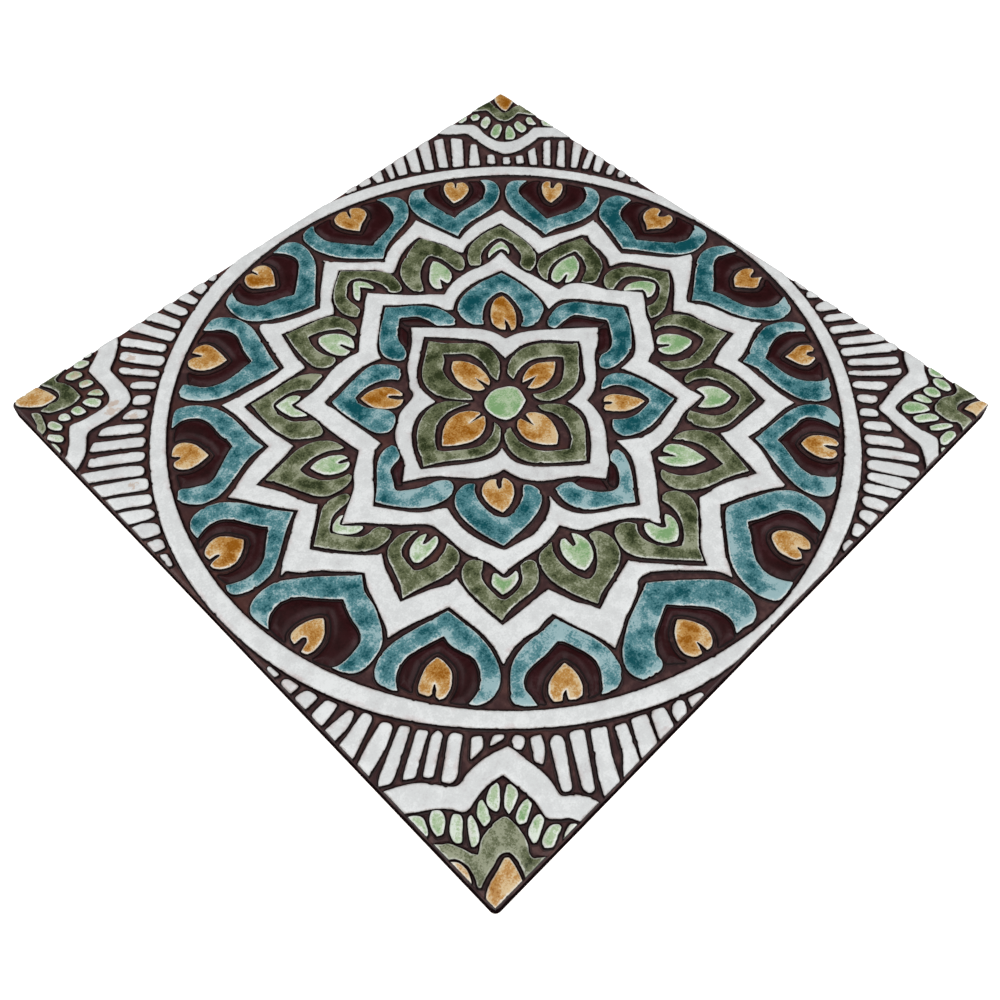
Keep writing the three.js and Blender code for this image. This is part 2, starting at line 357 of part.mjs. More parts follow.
// The eight petals of the third ring.
const TEAL_INNER = [
  `Q1 1460,572 1405,625 1372,680 1362,735 1330,790 1295,806 1262,785 1235,740 1228,690 1245,640
    1290,580 1350,520 1430,455 Q0 106,395 160,450 240,510 300,580 345,660 357,740 350,790 320,818
    290,800 260,770 235,745 230,700 215,640 190,590 150,560 106,530`,
  `Q0 850,706 780,690 700,672 620,668 540,675 470,700 420,740 400,790 393,850 405,900 440,935
    455,945 480,910 520,870 580,830 650,812 720,820 740,850 740,900 725,970 700,1040 660,1090
    610,1125 640,1160 700,1175 760,1155 820,1120 850,1060 865,980 868,880 860,780`,
  `Q0 1190,1478 1130,1400 1080,1330 1040,1270 1000,1220 950,1190 890,1178 820,1190 760,1215
    735,1250 745,1282 760,1292 830,1288 900,1293 935,1315 965,1360 1000,1420 1035,1475 Q3 1020,105
    985,150 940,205 890,245 840,255 790,250 745,275 720,310 730,342 770,365 840,372 900,362 960,345
    1020,298 1080,240 1140,168`,
  `Q3 850,796 770,808 690,822 610,830 540,824 470,800 425,765 413,715 430,672 468,638 500,668
    545,698 605,714 670,712 720,705 742,690 742,630 733,565 708,505 665,462 615,445 592,432 640,398
    692,387 742,405 782,448 810,510 826,580 836,660 845,735`,
  `Q3 118,1130 160,1082 215,1025 265,965 303,905 325,850 325,812 305,796 268,803 238,832 232,880
    200,930 160,970 118,990 Q2 1470,975 1425,935 1390,880 1370,825 1365,778 1322,748 1265,740
    1248,780 1240,850 1256,915 1300,982 1370,1030 1440,1072`,
  `Q2 783,803 765,735 750,650 744,560 752,485 775,422 820,373 880,354 930,362 958,392 925,425
    898,475 885,535 883,600 898,650 935,686 990,684 1050,668 1095,645 1125,615 1150,592 1178,620
    1190,665 1178,712 1140,750 1080,780 1000,797 920,803 850,805`,
  `Q1 468,1478 520,1432 580,1368 640,1300 700,1256 760,1241 802,1247 812,1272 798,1312 770,1348
    720,1358 680,1372 655,1410 630,1455 608,1490 Q2 608,112 650,145 700,180 760,205 815,222 855,252
    870,282 858,318 825,343 785,352 730,345 670,322 612,280 552,212 502,142`,
  `Q1 760,748 840,735 920,718 1000,705 1080,697 1130,705 1180,745 1220,800 1232,840 1205,880
    1160,905 1145,880 1110,850 1060,825 1000,810 930,812 880,825 872,870 885,930 920,980 950,1020
    965,1060 960,1100 920,1140 860,1160 810,1130 785,1080 770,980 755,880 752,800`,
];

// Amber drops of the third ring, the centre and the corners.
const AMBER_INNER = [
  `Q0 712,856 660,846 612,862 560,900 515,950 493,1000 497,1045 518,1078 545,1050 578,1008 565,1060
    540,1108 570,1112 620,1072 665,1020 695,960 708,905`,
  `Q3 708,682 640,677 580,655 525,608 490,562 495,540 520,530 545,550 565,552 555,530 530,510
    560,490 600,500 645,545 685,610 705,650`,
  `Q2 935,645 920,590 920,530 935,480 965,445 1010,428 1045,435 1068,455 1045,480 1030,515 1050,518
    1080,490 1105,475 1115,510 1108,550 1075,595 1030,625 980,642`,
  `Q1 900,850 960,845 1020,860 1070,890 1100,940 1110,1000 1095,1015 1060,975 1035,955 1025,965
    1050,1010 1085,1040 1040,1058 1000,1050 950,1010 915,960 900,900`,
  `MM 2.2,31.3 -1.5,28 -4,21 -3.5,15 -1,11 1.5,10 2,12 2.7,17.5 3.7,12 4,10 6.3,12 8,18 7.5,24
    4.5,29.5`,
  `MM 34.3,-1 30.8,2.2 27.5,4.2 23.3,4.7 18.3,3 15.4,0.9 22.5,-0.7 15,-2.7 16.7,-4.9 20.8,-6.6
    25.8,-6.3 30,-4.5`,
  `MM 2.1,-32.8 -1.7,-29.5 -4.6,-24.5 -5.2,-20.3 -3.8,-15.3 -0.8,-12.4 1,-12.4 2.3,-19.1 3.8,-12.4
    5.8,-12.7 8.8,-16.2 9.6,-20.3 8.3,-25.3 5.8,-29.9`,
  `MM -32.9,0.7 -30,3.8 -25.8,7.2 -20.8,9 -15.8,8.4 -11.7,5.9 -9.2,2.6 -9.6,1.5 -16.7,1.2 -9.6,0.1
    -9.2,-0.8 -12.5,-4.5 -16.7,-6.6 -20.8,-6.8 -25.8,-4.9 -30,-2`,
  `SW 30,1090 45,1070 90,1045 150,1030 190,1018 215,1010 230,1025 225,1060 210,1110 195,1142
    118,1142 105,1130 95,1142 30,1142`,
  `SW 32,855 55,880 62,920 50,965 35,990 30,990`,
  `NE 1020,200 1015,160 1030,100 1050,60 1075,40 1125,38 1132,80 1132,160 1080,180`,
  `SE 1010,1060 1050,1060 1090,1070 1125,1095 1135,1120 1132,1142 1060,1142 1010,1140 1020,1110`,
  `NW 45,55 70,30 102,32 115,45 125,30 180,28 200,50 215,90 230,140 235,180 200,185 150,180 110,155
    70,115 45,80`,
];

// Small dark hearts of the third ring.
const OXBLOOD_INNER = [
  `Q0 106,552 150,585 192,618 210,665 218,725 190,690 150,645 106,600`,
  `Q1 1460,650 1425,690 1385,735 1378,700 1395,655 1430,615 1465,585`,
  `Q0 790,1305 850,1300 895,1308 925,1335 955,1385 985,1440 1015,1478 955,1470 900,1410 840,1350`,
  `Q3 985,125 940,180 890,225 845,245 800,232 798,212 850,180 905,130 955,95`,
  `Q2 1380,790 1425,795 1470,835 1500,880 1475,955 1430,915 1395,865 1378,820`,
  `Q3 120,925 165,890 205,850 222,850 215,885 165,945 118,970`,
  `Q1 770,1362 715,1372 685,1395 665,1432 640,1478 660,1490 690,1450 735,1412 775,1385`,
];

// White spokes outside the ring.
const SPOKES = [
  `SW 25,0 185,0 190,35 120,65 28,75`,
  `SW 28,105 120,85 220,58 240,95 230,115 150,150 28,205`,
  `SW 28,235 150,185 250,155 278,190 270,215 180,265 28,315`,
  `SW 28,380 60,352 180,290 300,228 332,270 250,320 130,390 85,410`,
  `SW 130,435 180,400 345,300 378,345 300,390 180,468`,
  `SW 205,490 370,370 412,370 415,405 330,460 240,525`,
  `SW 250,565 430,425 450,428 480,470 400,530 320,600 280,605`,
  `SW 415,585 500,505 540,540 500,585`,
  `SW 525,600 575,570 618,605 600,620`,
  `SW 600,690 610,655 650,640 675,675 660,700 620,718`,
  `SW 620,800 690,700 740,725 700,790 640,838`,
  `SW 610,980 740,780 780,768 800,800 790,830 650,1010 620,1000`,
  `SW 685,1040 830,820 850,815 900,850 800,980 720,1085 690,1080`,
  `SW 725,1140 780,1050 920,870 985,915 900,1020 830,1140`,
  `SW 850,1140 940,1060 1010,940 1065,965 1000,1080 965,1140`,
  `SW 980,1140 1090,970 1165,1005 1090,1140`,
  `S2 465,1112 540,985 560,978 618,1010 575,1112`,
  `S2 600,1112 620,1060 650,1035 690,1030 716,1055 695,1095 665,1115`,
  `S2 712,1115 735,1062 780,1075 818,1090 810,1118`,
  `W2 38,460 60,455 68,540 35,530`,
  `W2 38,580 60,568 85,590 100,660 38,665`,
  `W2 38,692 95,695 120,720 130,775 38,785`,
  `W2 38,825 150,815 175,880 100,900 38,910`,
  `NE 50,40 105,40 35,165 0,160`,
  `NE 125,38 215,38 115,195 60,170`,
  `NE 235,40 325,38 190,245 145,200`,
  `NE 350,38 440,38 265,290 222,250`,
  `NE 460,75 520,100 345,340 303,295`,
  `NE 560,135 605,200 430,400 370,355`,
  `NE 610,275 640,305 510,470 455,420`,
  `NE 620,425 650,460 590,535 555,490`,
  `NE 670,520 705,550 660,605 625,570`,
  `NE 740,570 780,600 730,660 690,630`,
  `NE 830,595 895,600 780,735 745,700`,
  `NE 975,600 1022,620 835,800 810,760`,
  `NE 1050,670 1085,690 890,880 860,830`,
  `NE 1120,740 1135,810 940,940 918,905`,
  `NE 1135,870 1135,920 985,1000 960,965`,
  `NE 1100,960 1135,940 1135,1010 1010,1075 1000,1030`,
  `NE 1090,1080 1135,1070 1135,1110 1050,1145 1030,1110`,
  `N1 615,60 640,38 725,38 700,85`,
  `N1 735,85 745,45 845,40 815,105`,
  `N1 860,50 955,38 895,150 845,130`,
  `E1 1035,550 1065,525 1112,515 1112,560 1070,580 1045,570`,
  `E1 1065,640 1090,620 1112,615 1112,685 1085,680`,
  `NW 1062,32 1122,32 1135,80 1158,150 1150,178 1128,184 1100,170 1080,120 1060,60`,
  `NW 935,35 1010,32 1035,90 1060,160 1075,205 1060,225 1035,245 1015,225 990,160 960,100 935,60`,
  `NW 815,38 895,35 915,80 940,150 975,210 1000,255 990,275 950,292 940,295 915,240 880,170 845,100
    818,55`,
  `NW 710,115 730,85 765,75 785,110 830,170 870,235 905,290 900,310 870,330 855,325 820,270 770,190
    730,140`,
  `NW 645,200 660,170 685,160 710,175 740,225 790,290 840,350 845,365 830,390 800,405 780,400
    730,330 680,260`,
  `NW 590,270 605,250 625,255 650,290 700,350 750,410 760,430 745,455 730,458 700,430 640,350
    595,300`,
  `NW 572,405 600,390 625,405 660,440 695,480 695,500 670,522 655,515 600,455 575,430`,
  `NW 508,525 530,500 560,485 590,510 618,540 615,560 580,585 560,575 520,545`,
  `NW 408,570 440,555 490,555 520,585 545,610 540,635 515,655 490,648 450,610 415,580`,
  `NW 245,575 285,553 320,560 380,600 440,650 475,685 470,705 440,722 420,718 350,665 280,610`,
  `NW 152,632 205,597 225,615 300,670 380,725 425,765 420,785 400,810 380,810 300,750 220,690
    160,645`,
  `NW 88,712 130,675 165,700 250,755 330,810 365,845 360,865 340,885 320,885 240,830 150,765 90,725`,
  `NW 28,730 60,740 150,800 230,850 300,910 305,935 285,965 265,970 200,920 100,850 28,805`,
  `NW 30,840 80,870 160,920 240,970 275,1005 270,1025 240,1065 225,1060 150,1010 80,965 30,935`,
  `NW 30,965 60,975 130,1025 210,1085 228,1100 215,1140 195,1155 150,1130 80,1080 28,1055`,
  `W1 30,435 80,460 180,530 195,575 180,603 130,590 30,540`,
  `W1 30,570 100,590 150,640 155,670 135,720 90,705 35,675`,
  `W1 40,715 100,735 115,760 100,815 35,800`,
  `W1 45,830 75,845 80,860 60,940 35,930`,
  `N2 530,40 605,38 622,150 590,165 570,155 530,60`,
  `N2 650,38 735,38 735,95 720,105 660,125 645,60`,
  `N2 770,38 845,38 830,70 790,85 775,60`,
  `SE 1035,15 1055,2 1090,5 1140,25 1150,60 1145,110 1125,110 1090,85 1050,60 1030,35`,
  `SE 1000,95 1020,85 1060,105 1110,145 1140,165 1145,225 1120,215 1060,170 1000,130 995,110`,
  `SE 950,180 980,165 1010,185 1080,240 1135,275 1140,340 1110,325 1040,275 970,225 945,210`,
  `SE 905,280 925,258 960,265 1020,310 1090,360 1145,400 1140,445 1120,455 1060,415 980,350 920,300`,
  `SE 850,355 865,320 890,312 930,340 1000,400 1080,450 1135,490 1135,530 1110,548 1060,520 980,450
    900,395`,
  `SE 815,405 840,390 870,400 920,450 980,500 1040,550 1068,575 1055,595 1035,608 1010,600 940,540
    870,470 825,430`,
  `SE 755,455 775,438 800,455 860,520 930,580 990,620 1010,635 1000,655 970,665 950,655 880,590
    800,510`,
  `SE 700,520 725,505 750,515 790,560 850,620 860,640 845,665 820,665 790,650 750,600 705,545`,
  `SE 640,600 660,580 685,585 720,625 742,655 735,675 700,685 680,675 645,625`,
  `SE 560,675 580,655 605,648 635,680 655,710 650,735 630,752 615,745 580,700`,
  `SE 500,745 520,722 550,722 590,765 625,805 620,840 600,862 585,860 540,800`,
  `SE 430,805 445,780 475,775 510,820 560,885 582,925 575,955 550,975 535,970 490,900 435,830`,
  `SE 365,865 380,840 405,835 440,875 500,960 555,1050 550,1070 530,1085 515,1085 450,990 370,880`,
  `SE 290,915 315,890 345,888 380,930 440,1020 480,1095 475,1120 450,1140 425,1140 370,1060 295,930`,
  `SE 230,955 255,935 280,940 320,1000 370,1080 378,1120 370,1142 325,1142 300,1110 240,985`,
  `SE 155,985 180,962 210,965 240,1020 280,1090 295,1130 290,1142 240,1142 220,1110 165,1020`,
  `SE 80,1030 100,1010 130,1008 160,1050 178,1105 175,1135 150,1142 120,1142 105,1110 80,1050`,
  `SE 0,1065 20,1050 50,1048 75,1090 80,1125 70,1140 20,1142 0,1142`,
  `S1 690,1110 715,1078 780,1080 780,1115 740,1115`,
  `S1 810,1075 885,1040 905,1060 905,1105 870,1115 825,1115`,
  `E2 1080,780 1095,720 1112,700 1112,800 1100,820`,
  `E2 1040,860 1075,830 1112,835 1112,905 1095,910`,
];

// The white band across each corner.
const CORNER_BANDS = [
  `SW 25,410 80,435 125,460 180,500 215,545 245,585 275,620 300,632 370,620 450,622 520,636 560,650
    588,658 596,700 602,760 612,850 608,920 592,985 605,1010 640,1033 670,1075 688,1110 690,1142
    572,1142 565,1130 545,1090 510,1060 475,1020 480,980 490,920 485,850 480,790 475,740 430,730
    370,725 300,735 250,745 225,735 190,680 150,640 80,590 25,550`,
  `NE 530,38 560,80 610,130 665,175 668,250 668,300 672,400 690,470 700,500 740,530 800,548 870,553
    930,553 985,548 1030,590 1080,640 1135,695 1135,560 1110,530 1070,490 1030,452 990,460 930,465
    860,460 800,430 760,380 750,330 750,260 765,200 765,150 740,120 690,75 650,38`,
  `SE 1135,575 1100,600 1060,640 1030,675 1010,690 960,688 900,690 850,690 800,700 740,710 690,712
    672,730 665,780 650,840 640,900 630,960 625,1020 600,1060 560,1100 530,1130 505,1142 620,1142
    650,1125 690,1100 725,1070 728,1040 720,980 715,920 728,850 735,800 750,780 800,775 850,778
    900,785 960,800 1010,815 1040,805 1060,780 1090,745 1135,710`,
  `NW 735,38 720,75 690,110 650,150 610,185 580,205 565,225 560,300 555,380 545,440 520,490 480,510
    420,520 350,522 290,515 235,512 205,530 170,580 130,630 80,665 25,692 25,580 45,575 80,540
    120,490 150,440 175,410 200,410 240,422 300,428 370,430 420,420 450,385 465,330 468,260 470,200
    470,145 500,120 540,95 590,60 610,38`,
];

// The white star inside the outer petals.
const STAR16_OUTER = `N1 88,442 130,500 180,560 260,640 330,700 372,748 400,720 440,695 520,665 640,640 740,615
    785,598 800,660 820,740 845,850 868,945 920,928 1000,915 1080,912 1180,925 1255,935 E1 225,215
    225,300 235,400 235,500 225,600 260,620 330,650 420,690 500,715 600,725 580,800 550,900 515,1000
    492,1075 540,1130 600,1210 660,1290 720,1350 815,1405 E2 800,100 720,160 640,215 560,265 490,310
    467,340 500,400 530,450 555,530 575,620 610,700 660,790 590,795 500,825 400,860 310,882 310,960
    300,1050 290,1150 285,1240 290,1325 S1 1340,278 1250,262 1150,262 1050,258 940,240 925,330
    890,420 850,500 830,560 820,605 800,605 750,570 690,535 600,490 520,460 450,430 400,470 330,540
    260,610 210,660 170,720 125,780 S2 1440,720 1400,660 1330,590 1250,510 1160,440 1085,425
    1030,465 940,505 860,530 780,570 685,612 680,560 665,480 640,400 620,330 600,240 540,240 480,250
    400,235 320,235 250,250 205,265 W2 932,1310 960,1230 975,1150 978,1080 970,980 962,868 900,850
    840,830 760,805 700,790 605,775 640,720 670,640 700,560 730,470 778,390 740,340 680,280 620,210
    540,150 480,75 W1 440,1410 500,1350 580,1290 660,1230 720,1180 778,1145 740,1090 680,1000
    630,920 590,850 548,790 600,775 640,758 720,725 800,700 860,685 940,672 940,600 940,500 945,400
    940,300 930,225 N2 205,955 290,970 400,985 520,1000 655,990 665,950 680,880 700,800 720,720
    740,640 765,605 790,610 830,650 900,690 1000,730 1080,750 1130,765 1170,720 1230,650 1300,580
    1360,520 1420,465`;

// Its inner edge.
const STAR16_INNER = `N1 105,588 160,640 220,700 280,760 330,850 350,858 400,830 480,780 560,750 650,732 690,735
    710,790 740,850 765,920 775,1000 800,1050 860,1020 940,1010 1040,1005 1110,1015 1165,1025 E1
    125,300 130,400 130,500 120,590 100,685 200,705 290,720 370,745 430,765 460,800 430,850 415,950
    395,1030 350,1100 430,1130 480,1180 530,1270 570,1340 605,1400 E2 560,140 500,200 440,250
    390,290 345,325 370,360 400,420 410,500 430,600 460,690 468,720 400,730 330,740 260,760 190,785
    200,830 215,900 212,1000 200,1080 180,1190 S1 1200,148 1100,145 1000,142 900,135 845,108 820,200
    800,300 770,445 700,410 620,370 520,335 440,325 405,315 330,380 270,440 200,490 150,540 85,635
    S2 1370,590 1300,510 1230,430 1170,360 1135,305 1080,320 1000,340 920,360 850,385 800,402
    775,340 740,280 715,200 690,120 640,115 560,112 460,108 370,100 W2 1088,1150 1085,1050 1085,950
    1095,850 1112,770 1080,770 1040,760 960,720 880,690 795,662 820,600 850,520 880,440 925,362
    900,350 830,280 770,210 720,150 660,60 W1 700,1350 760,1300 820,1250 885,1190 860,1160 830,1090
    800,1000 760,920 715,835 780,825 860,810 950,795 1045,770 1035,700 1020,600 1018,480 1018,330 N2
    290,1058 380,1060 500,1070 620,1075 745,1080 755,1050 760,980 780,900 800,820 815,760 880,780
    980,800 1060,825 1130,850 1160,862 1190,830 1230,760 1290,700 1370,640`;

// The white star inside the green petals.
const STAR8_OUTER = `Q0 106,218 215,345 300,440 380,510 452,582 520,555 600,540 680,542 740,552 800,570 880,577
    940,572 988,562 975,640 962,720 965,790 980,860 992,950 1010,1078 1075,1082 1125,1110 1165,1155
    1195,1215 1225,1285 1280,1360 1335,1425 1375,1478 Q3 1330,135 1280,185 1235,235 1195,300
    1150,350 1105,405 1060,452 1010,465 957,490 968,560 973,640 972,720 968,800 978,860 985,903
    900,905 820,905 770,915 700,938 620,953 530,960 448,955 405,1010 350,1075 295,1135 240,1190
    185,1250 145,1290 115,1325 Q2 1497,1300 1470,1232 1405,1168 1325,1120 1245,1083 1175,1050
    1135,995 1100,928 1040,945 960,955 880,950 820,940 740,932 655,932 650,880 648,830 628,770
    605,705 597,640 600,560 597,480 588,418 530,352 470,300 425,245 385,205 340,150 285,98 235,60 Q1
    300,1415 380,1365 450,1315 505,1250 570,1195 640,1138 628,1050 618,950 612,850 612,760 600,690
    588,612 660,608 740,606 820,590 900,563 980,548 1060,548 1135,562 1190,505 1260,435 1330,375
    1400,312 1450,262`;

// Its inner edge.
const STAR8_INNER = `Q0 106,370 190,450 262,510 318,565 350,625 368,690 400,718 450,680 520,652 600,640 680,645
    770,665 868,690 880,780 887,880 882,980 865,1070 840,1150 900,1143 950,1150 995,1178 1045,1230
    1095,1305 1150,1380 1212,1470 Q3 1213,95 1155,165 1100,240 1045,305 990,358 930,395 860,405
    800,408 825,480 845,560 857,640 865,720 870,808 800,828 720,845 640,862 570,866 505,852 445,818
    400,785 368,762 362,830 342,900 300,965 240,1032 190,1085 150,1132 125,1160 Q2 1500,1148
    1440,1102 1370,1062 1295,1012 1240,960 1205,895 1193,830 1205,750 1160,800 1100,835 1020,860
    950,870 870,852 795,835 768,825 740,765 718,700 704,630 700,560 708,490 730,400 690,368 635,340
    580,292 530,225 482,155 440,95 Q1 500,1432 555,1365 610,1298 662,1240 715,1205 765,1188 757,1080
    747,980 740,880 735,800 722,745 730,716 800,705 900,688 1000,672 1080,670 1150,682 1203,698
    1215,655 1250,605 1300,555 1360,500 1430,435`;

// The white star round the centre.
const STAR4_OUTER = `MM 2.6,59.2 8.8,53 13.3,48 19.2,42.2 24.2,36.3 27.1,30.5 28.3,24.3 34.2,22.6 39.2,19.7 44.2,15.9
    48.3,12.2 56,5.5 62.6,-0.6 56,-6.6 50,-10.3 44.2,-16.2 38.3,-21.6 33.3,-24.5 28.3,-25.8
    27.5,-31.2 25,-37.8 20,-44.5 15,-49.5 11.3,-54 3.6,-59.3 -0.7,-53.6 -4,-50 -7.9,-47 -12.5,-44
    -17.1,-40.3 -21.3,-33.7 -22.9,-26.2 -27.5,-25.3 -33.3,-22 -37.5,-17.8 -41.7,-12.8 -45.8,-8.3
    -50,-5.3 -57,-1.2 -50,5.5 -46.7,13 -43.3,18.8 -39.2,22.2 -33.3,26.3 -23.3,29.3 -21.3,33.8
    -17.5,38.4 -15,42.2 -10,46.8 -3.3,52.2`;

// Its inner edge.
const STAR4_INNER = `MM 3,51 8.3,45.1 13.3,39.3 18.3,33 20.8,28 20.8,23 20,16.3 24.2,16.3 30,16.3 35.8,14.3 41.7,9.7
    46.7,3.8 50.7,-0.3 45.8,-6.6 40,-12.8 35.8,-17.8 30,-19.5 25,-20.3 21.8,-20.3 22.5,-24.5
    21.8,-30.3 18.3,-36.2 12.5,-42.8 4.6,-49.3 0,-46.2 -6.7,-40.3 -12.5,-34.5 -16.3,-28.7
    -17.1,-23.7 -15.7,-17.8 -20,-18.7 -25,-17.4 -30.8,-14.1 -37.5,-9.1 -47.5,-1.8 -45,3.8 -41.7,9.7
    -37.5,14.7 -32.5,18.4 -26.7,20.5 -18.8,20.1 -18.8,23.8 -18.5,28.8 -16.7,33.8 -12.5,38.8 -5,44.7
    0,48.8`;

// The points of a written outline, in millimetres from the middle of the tile. Points
// under MM are x,y in millimetres already.
function read(text) {
  const points = [];
  let sheet = null;
  text.trim().split(/\s+/).forEach((word) => {
    if (!word.includes(',')) {
      sheet = SHEETS[word] ?? null;
      return;
    }
    const [a, b] = word.split(',').map(Number);
    points.push(sheet ? [sheet[0] + a / sheet[2], sheet[1] - b / sheet[2]] : [a, b]);
  });
  return thin(points);
}

// Leaves out the points that lie within CHORD of the line between those that stay.
function thin(points) {
  const far = points.reduce((best, point, i) => {
    const span = Math.hypot(point[0] - points[0][0], point[1] - points[0][1]);
    return span > best.span ? { i, span } : best;
  }, { i: 0, span: 0 }).i;
  const closed = [...points, points[0]];
  return [...spanOf(closed, 0, far), ...spanOf(closed, far, points.length)];
}

// The kept points of one stretch of an outline, without its last one.
function spanOf(points, first, last) {
  const a = points[first];
  const dx = points[last][0] - a[0];
  const dy = points[last][1] - a[1];
  const length = Math.hypot(dx, dy);
  let worst = CHORD;
  let split = -1;
  for (let i = first + 1; i < last; i += 1) {
    const off = Math.abs((points[i][0] - a[0]) * dy - (points[i][1] - a[1]) * dx) / length;
    if (off > worst) {
      worst = off;
      split = i;
    }
  }
  return split < 0 ? [a] : [...spanOf(points, first, split), ...spanOf(points, split, last)];
}

function area(points) {
  let sum = 0;
  points.forEach(([x, y], i) => {
    const [u, v] = points[(i + 1) % points.length];
    sum += x * v - u * y;
  });
  return sum / 2;
}

// Moves every side of a closed outline inwards by d (outwards when d is negative).
function inset(points, d) {
  const turn = area(points) > 0 ? 1 : -1;
  const count = points.length;
  return points.map((point, i) => {
    const before = points[(i + count - 1) % count];
    const after = points[(i + 1) % count];
    const a = new THREE.Vector2(point[0] - before[0], point[1] - before[1]).normalize();
    const b = new THREE.Vector2(after[0] - point[0], after[1] - point[1]).normalize();
    const na = new THREE.Vector2(-a.y * turn, a.x * turn);
    const nb = new THREE.Vector2(-b.y * turn, b.x * turn);
    const sum = na.clone().add(nb);
    const reach = (2 * d) / Math.max(sum.lengthSq(), 0.5);
    return [point[0] + sum.x * reach, point[1] + sum.y * reach];
  });
}

// The convex outline round a set of points.
function hull(points) {
  const sorted = [...points].sort((p, q) => p[0] - q[0] || p[1] - q[1]);
  const half = (list) => {
    const kept = [];
    list.forEach((p) => {
      while (kept.length > 1) {
        const [a, b] = kept.slice(-2);
        if ((b[0] - a[0]) * (p[1] - a[1]) - (b[1] - a[1]) * (p[0] - a[0]) > 0) break;
        kept.pop();
      }
      kept.push(p);
    });
    return kept.slice(0, -1);
  };
  return [...half(sorted), ...half(sorted.reverse())];
}

function toSolid(geometry) {
  geometry.deleteAttribute('normal');
  geometry.deleteAttribute('uv');
  const merged = mergeVertices(geometry, 1e-4);
  return new wasm.Manifold(new wasm.Mesh({
    numProp: 3,
    vertProperties: new Float32Array(merged.attributes.position.array),
    triVerts: new Uint32Array(merged.index.array),
  }));
}

// An upright block over a closed outline, from z0 to z1.
function block(points, z0, z1) {
  const shape = new THREE.Shape(points.map(([x, y]) => new THREE.Vector2(x, y)));
  const geometry = new THREE.ExtrudeGeometry(shape, { depth: z1 - z0, bevelEnabled: false });
  geometry.translate(0, 0, z0);
  return toSolid(geometry);
}

const scaled = (points) => points.map(([x, y]) => [x * SCALE, y * SCALE]);

// A raised pad: its drawn outline scaled to the tile, less what a wider groove takes off.
function pad(points) {
  return block(inset(scaled(points), SHRINK), FLOOR - SINK, THICKNESS);
}

// A cutter that goes right through the pads over an outline.
function cutter(points) {
  return block(points, FLOOR - 2 * SINK, THICKNESS + RELIEF);
}

function band(outer, inner) {
  return pad(outer).subtract(cutter(inset(scaled(inner), -SHRINK)));
}

// A dark heart, with the moat cut from it that runs round its drop.
function heart(outline, drop) {
  return pad(read(outline)).subtract(cutter(inset(hull(scaled(read(drop))), -MOAT)));
}

// A circle of this radius that strays by hand, smooth between the typed steps.
function strayed(radius, stray) {
  const n = stray.length;
  return Array.from({ length: n * RING_STEPS }, (_, i) => {
    const first = Math.floor(i / RING_STEPS);
    const t = (i % RING_STEPS) / RING_STEPS;
    const [a, b, c, d] = [-1, 0, 1, 2].map((k) => stray[(first + k + n) % n]);
    const bend = 2 * a - 5 * b + 4 * c - d + t * (3 * (b - c) + d - a);
    const reach = radius + b + (t / 2) * (c - a + t * bend);
    const angle = (i / (n * RING_STEPS)) * Math.PI * 2;
    return [reach * Math.cos(angle), reach * Math.sin(angle)];
  });
}

function roundedSquare(half, radius) {
  const points = [];
  [[1, 1, 0], [-1, 1, 90], [-1, -1, 180], [1, -1, 270]].forEach(([sx, sy, from]) => {
    [0, 30, 60, 90].forEach((step) => {
      const angle = THREE.MathUtils.degToRad(from + step);
      points.push([
        sx * (half - radius) + radius * Math.cos(angle),
        sy * (half - radius) + radius * Math.sin(angle),
      ]);
    });
  });
  return points;
}

// The pads, and the limit that they keep to near the tile's edge.
const pads = [
  ...[TEAL_OUTER, AMBER_OUTER, LEAVES, MINT_DROPS, TEAL_INNER, AMBER_INNER, OXBLOOD_INNER, SPOKES,
    CORNER_BANDS].flat().map((text) => pad(read(text))),
  ...OXBLOOD_OUTER.map((text, i) => heart(text, AMBER_OUTER[i])),
  band(read(STAR16_OUTER), read(STAR16_INNER)),
  band(read(STAR8_OUTER), read(STAR8_INNER)),
  band(read(STAR4_OUTER), read(STAR4_INNER)),
  band(strayed(RING_RADIUS, OUTER_STRAY), strayed(RING_RADIUS - RING_WIDTH, INNER_STRAY)),
];
const limit = block(roundedSquare(SIDE / 2 - EDGE_MARGIN, CORNER_RADIUS), 0, 2 * THICKNESS);
const slab = block(roundedSquare(SIDE / 2, CORNER_RADIUS), 0, FLOOR);
const solid = slab.add(wasm.Manifold.union(pads).intersect(limit));

const mesh = solid.getMesh();
const geometry = new THREE.BufferGeometry();
geometry.setAttribute('position', new THREE.BufferAttribute(new Float32Array(mesh.vertProperties), 3));
geometry.setIndex(new THREE.BufferAttribute(new Uint32Array(mesh.triVerts), 1));
geometry.computeVertexNormals();

const glaze = new THREE.MeshStandardMaterial({ color: 0xd8dada, roughness: 0.22, metalness: 0 });
const tile = new THREE.Mesh(geometry, glaze);
tile.name = 'tile';

const model = new THREE.Group();
model.add(tile);

export default model;
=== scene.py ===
"""A handmade square tile: a dark glazed slab whose raised pads carry a rosette in coloured glazes."""
import json
import logging
import math
import random
from dataclasses import dataclass, field
from enum import Enum
from typing import Callable, Iterable, Sequence

import bpy
import numpy as np
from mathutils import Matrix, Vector, kdtree, noise
from mathutils.geometry import delaunay_2d_cdt

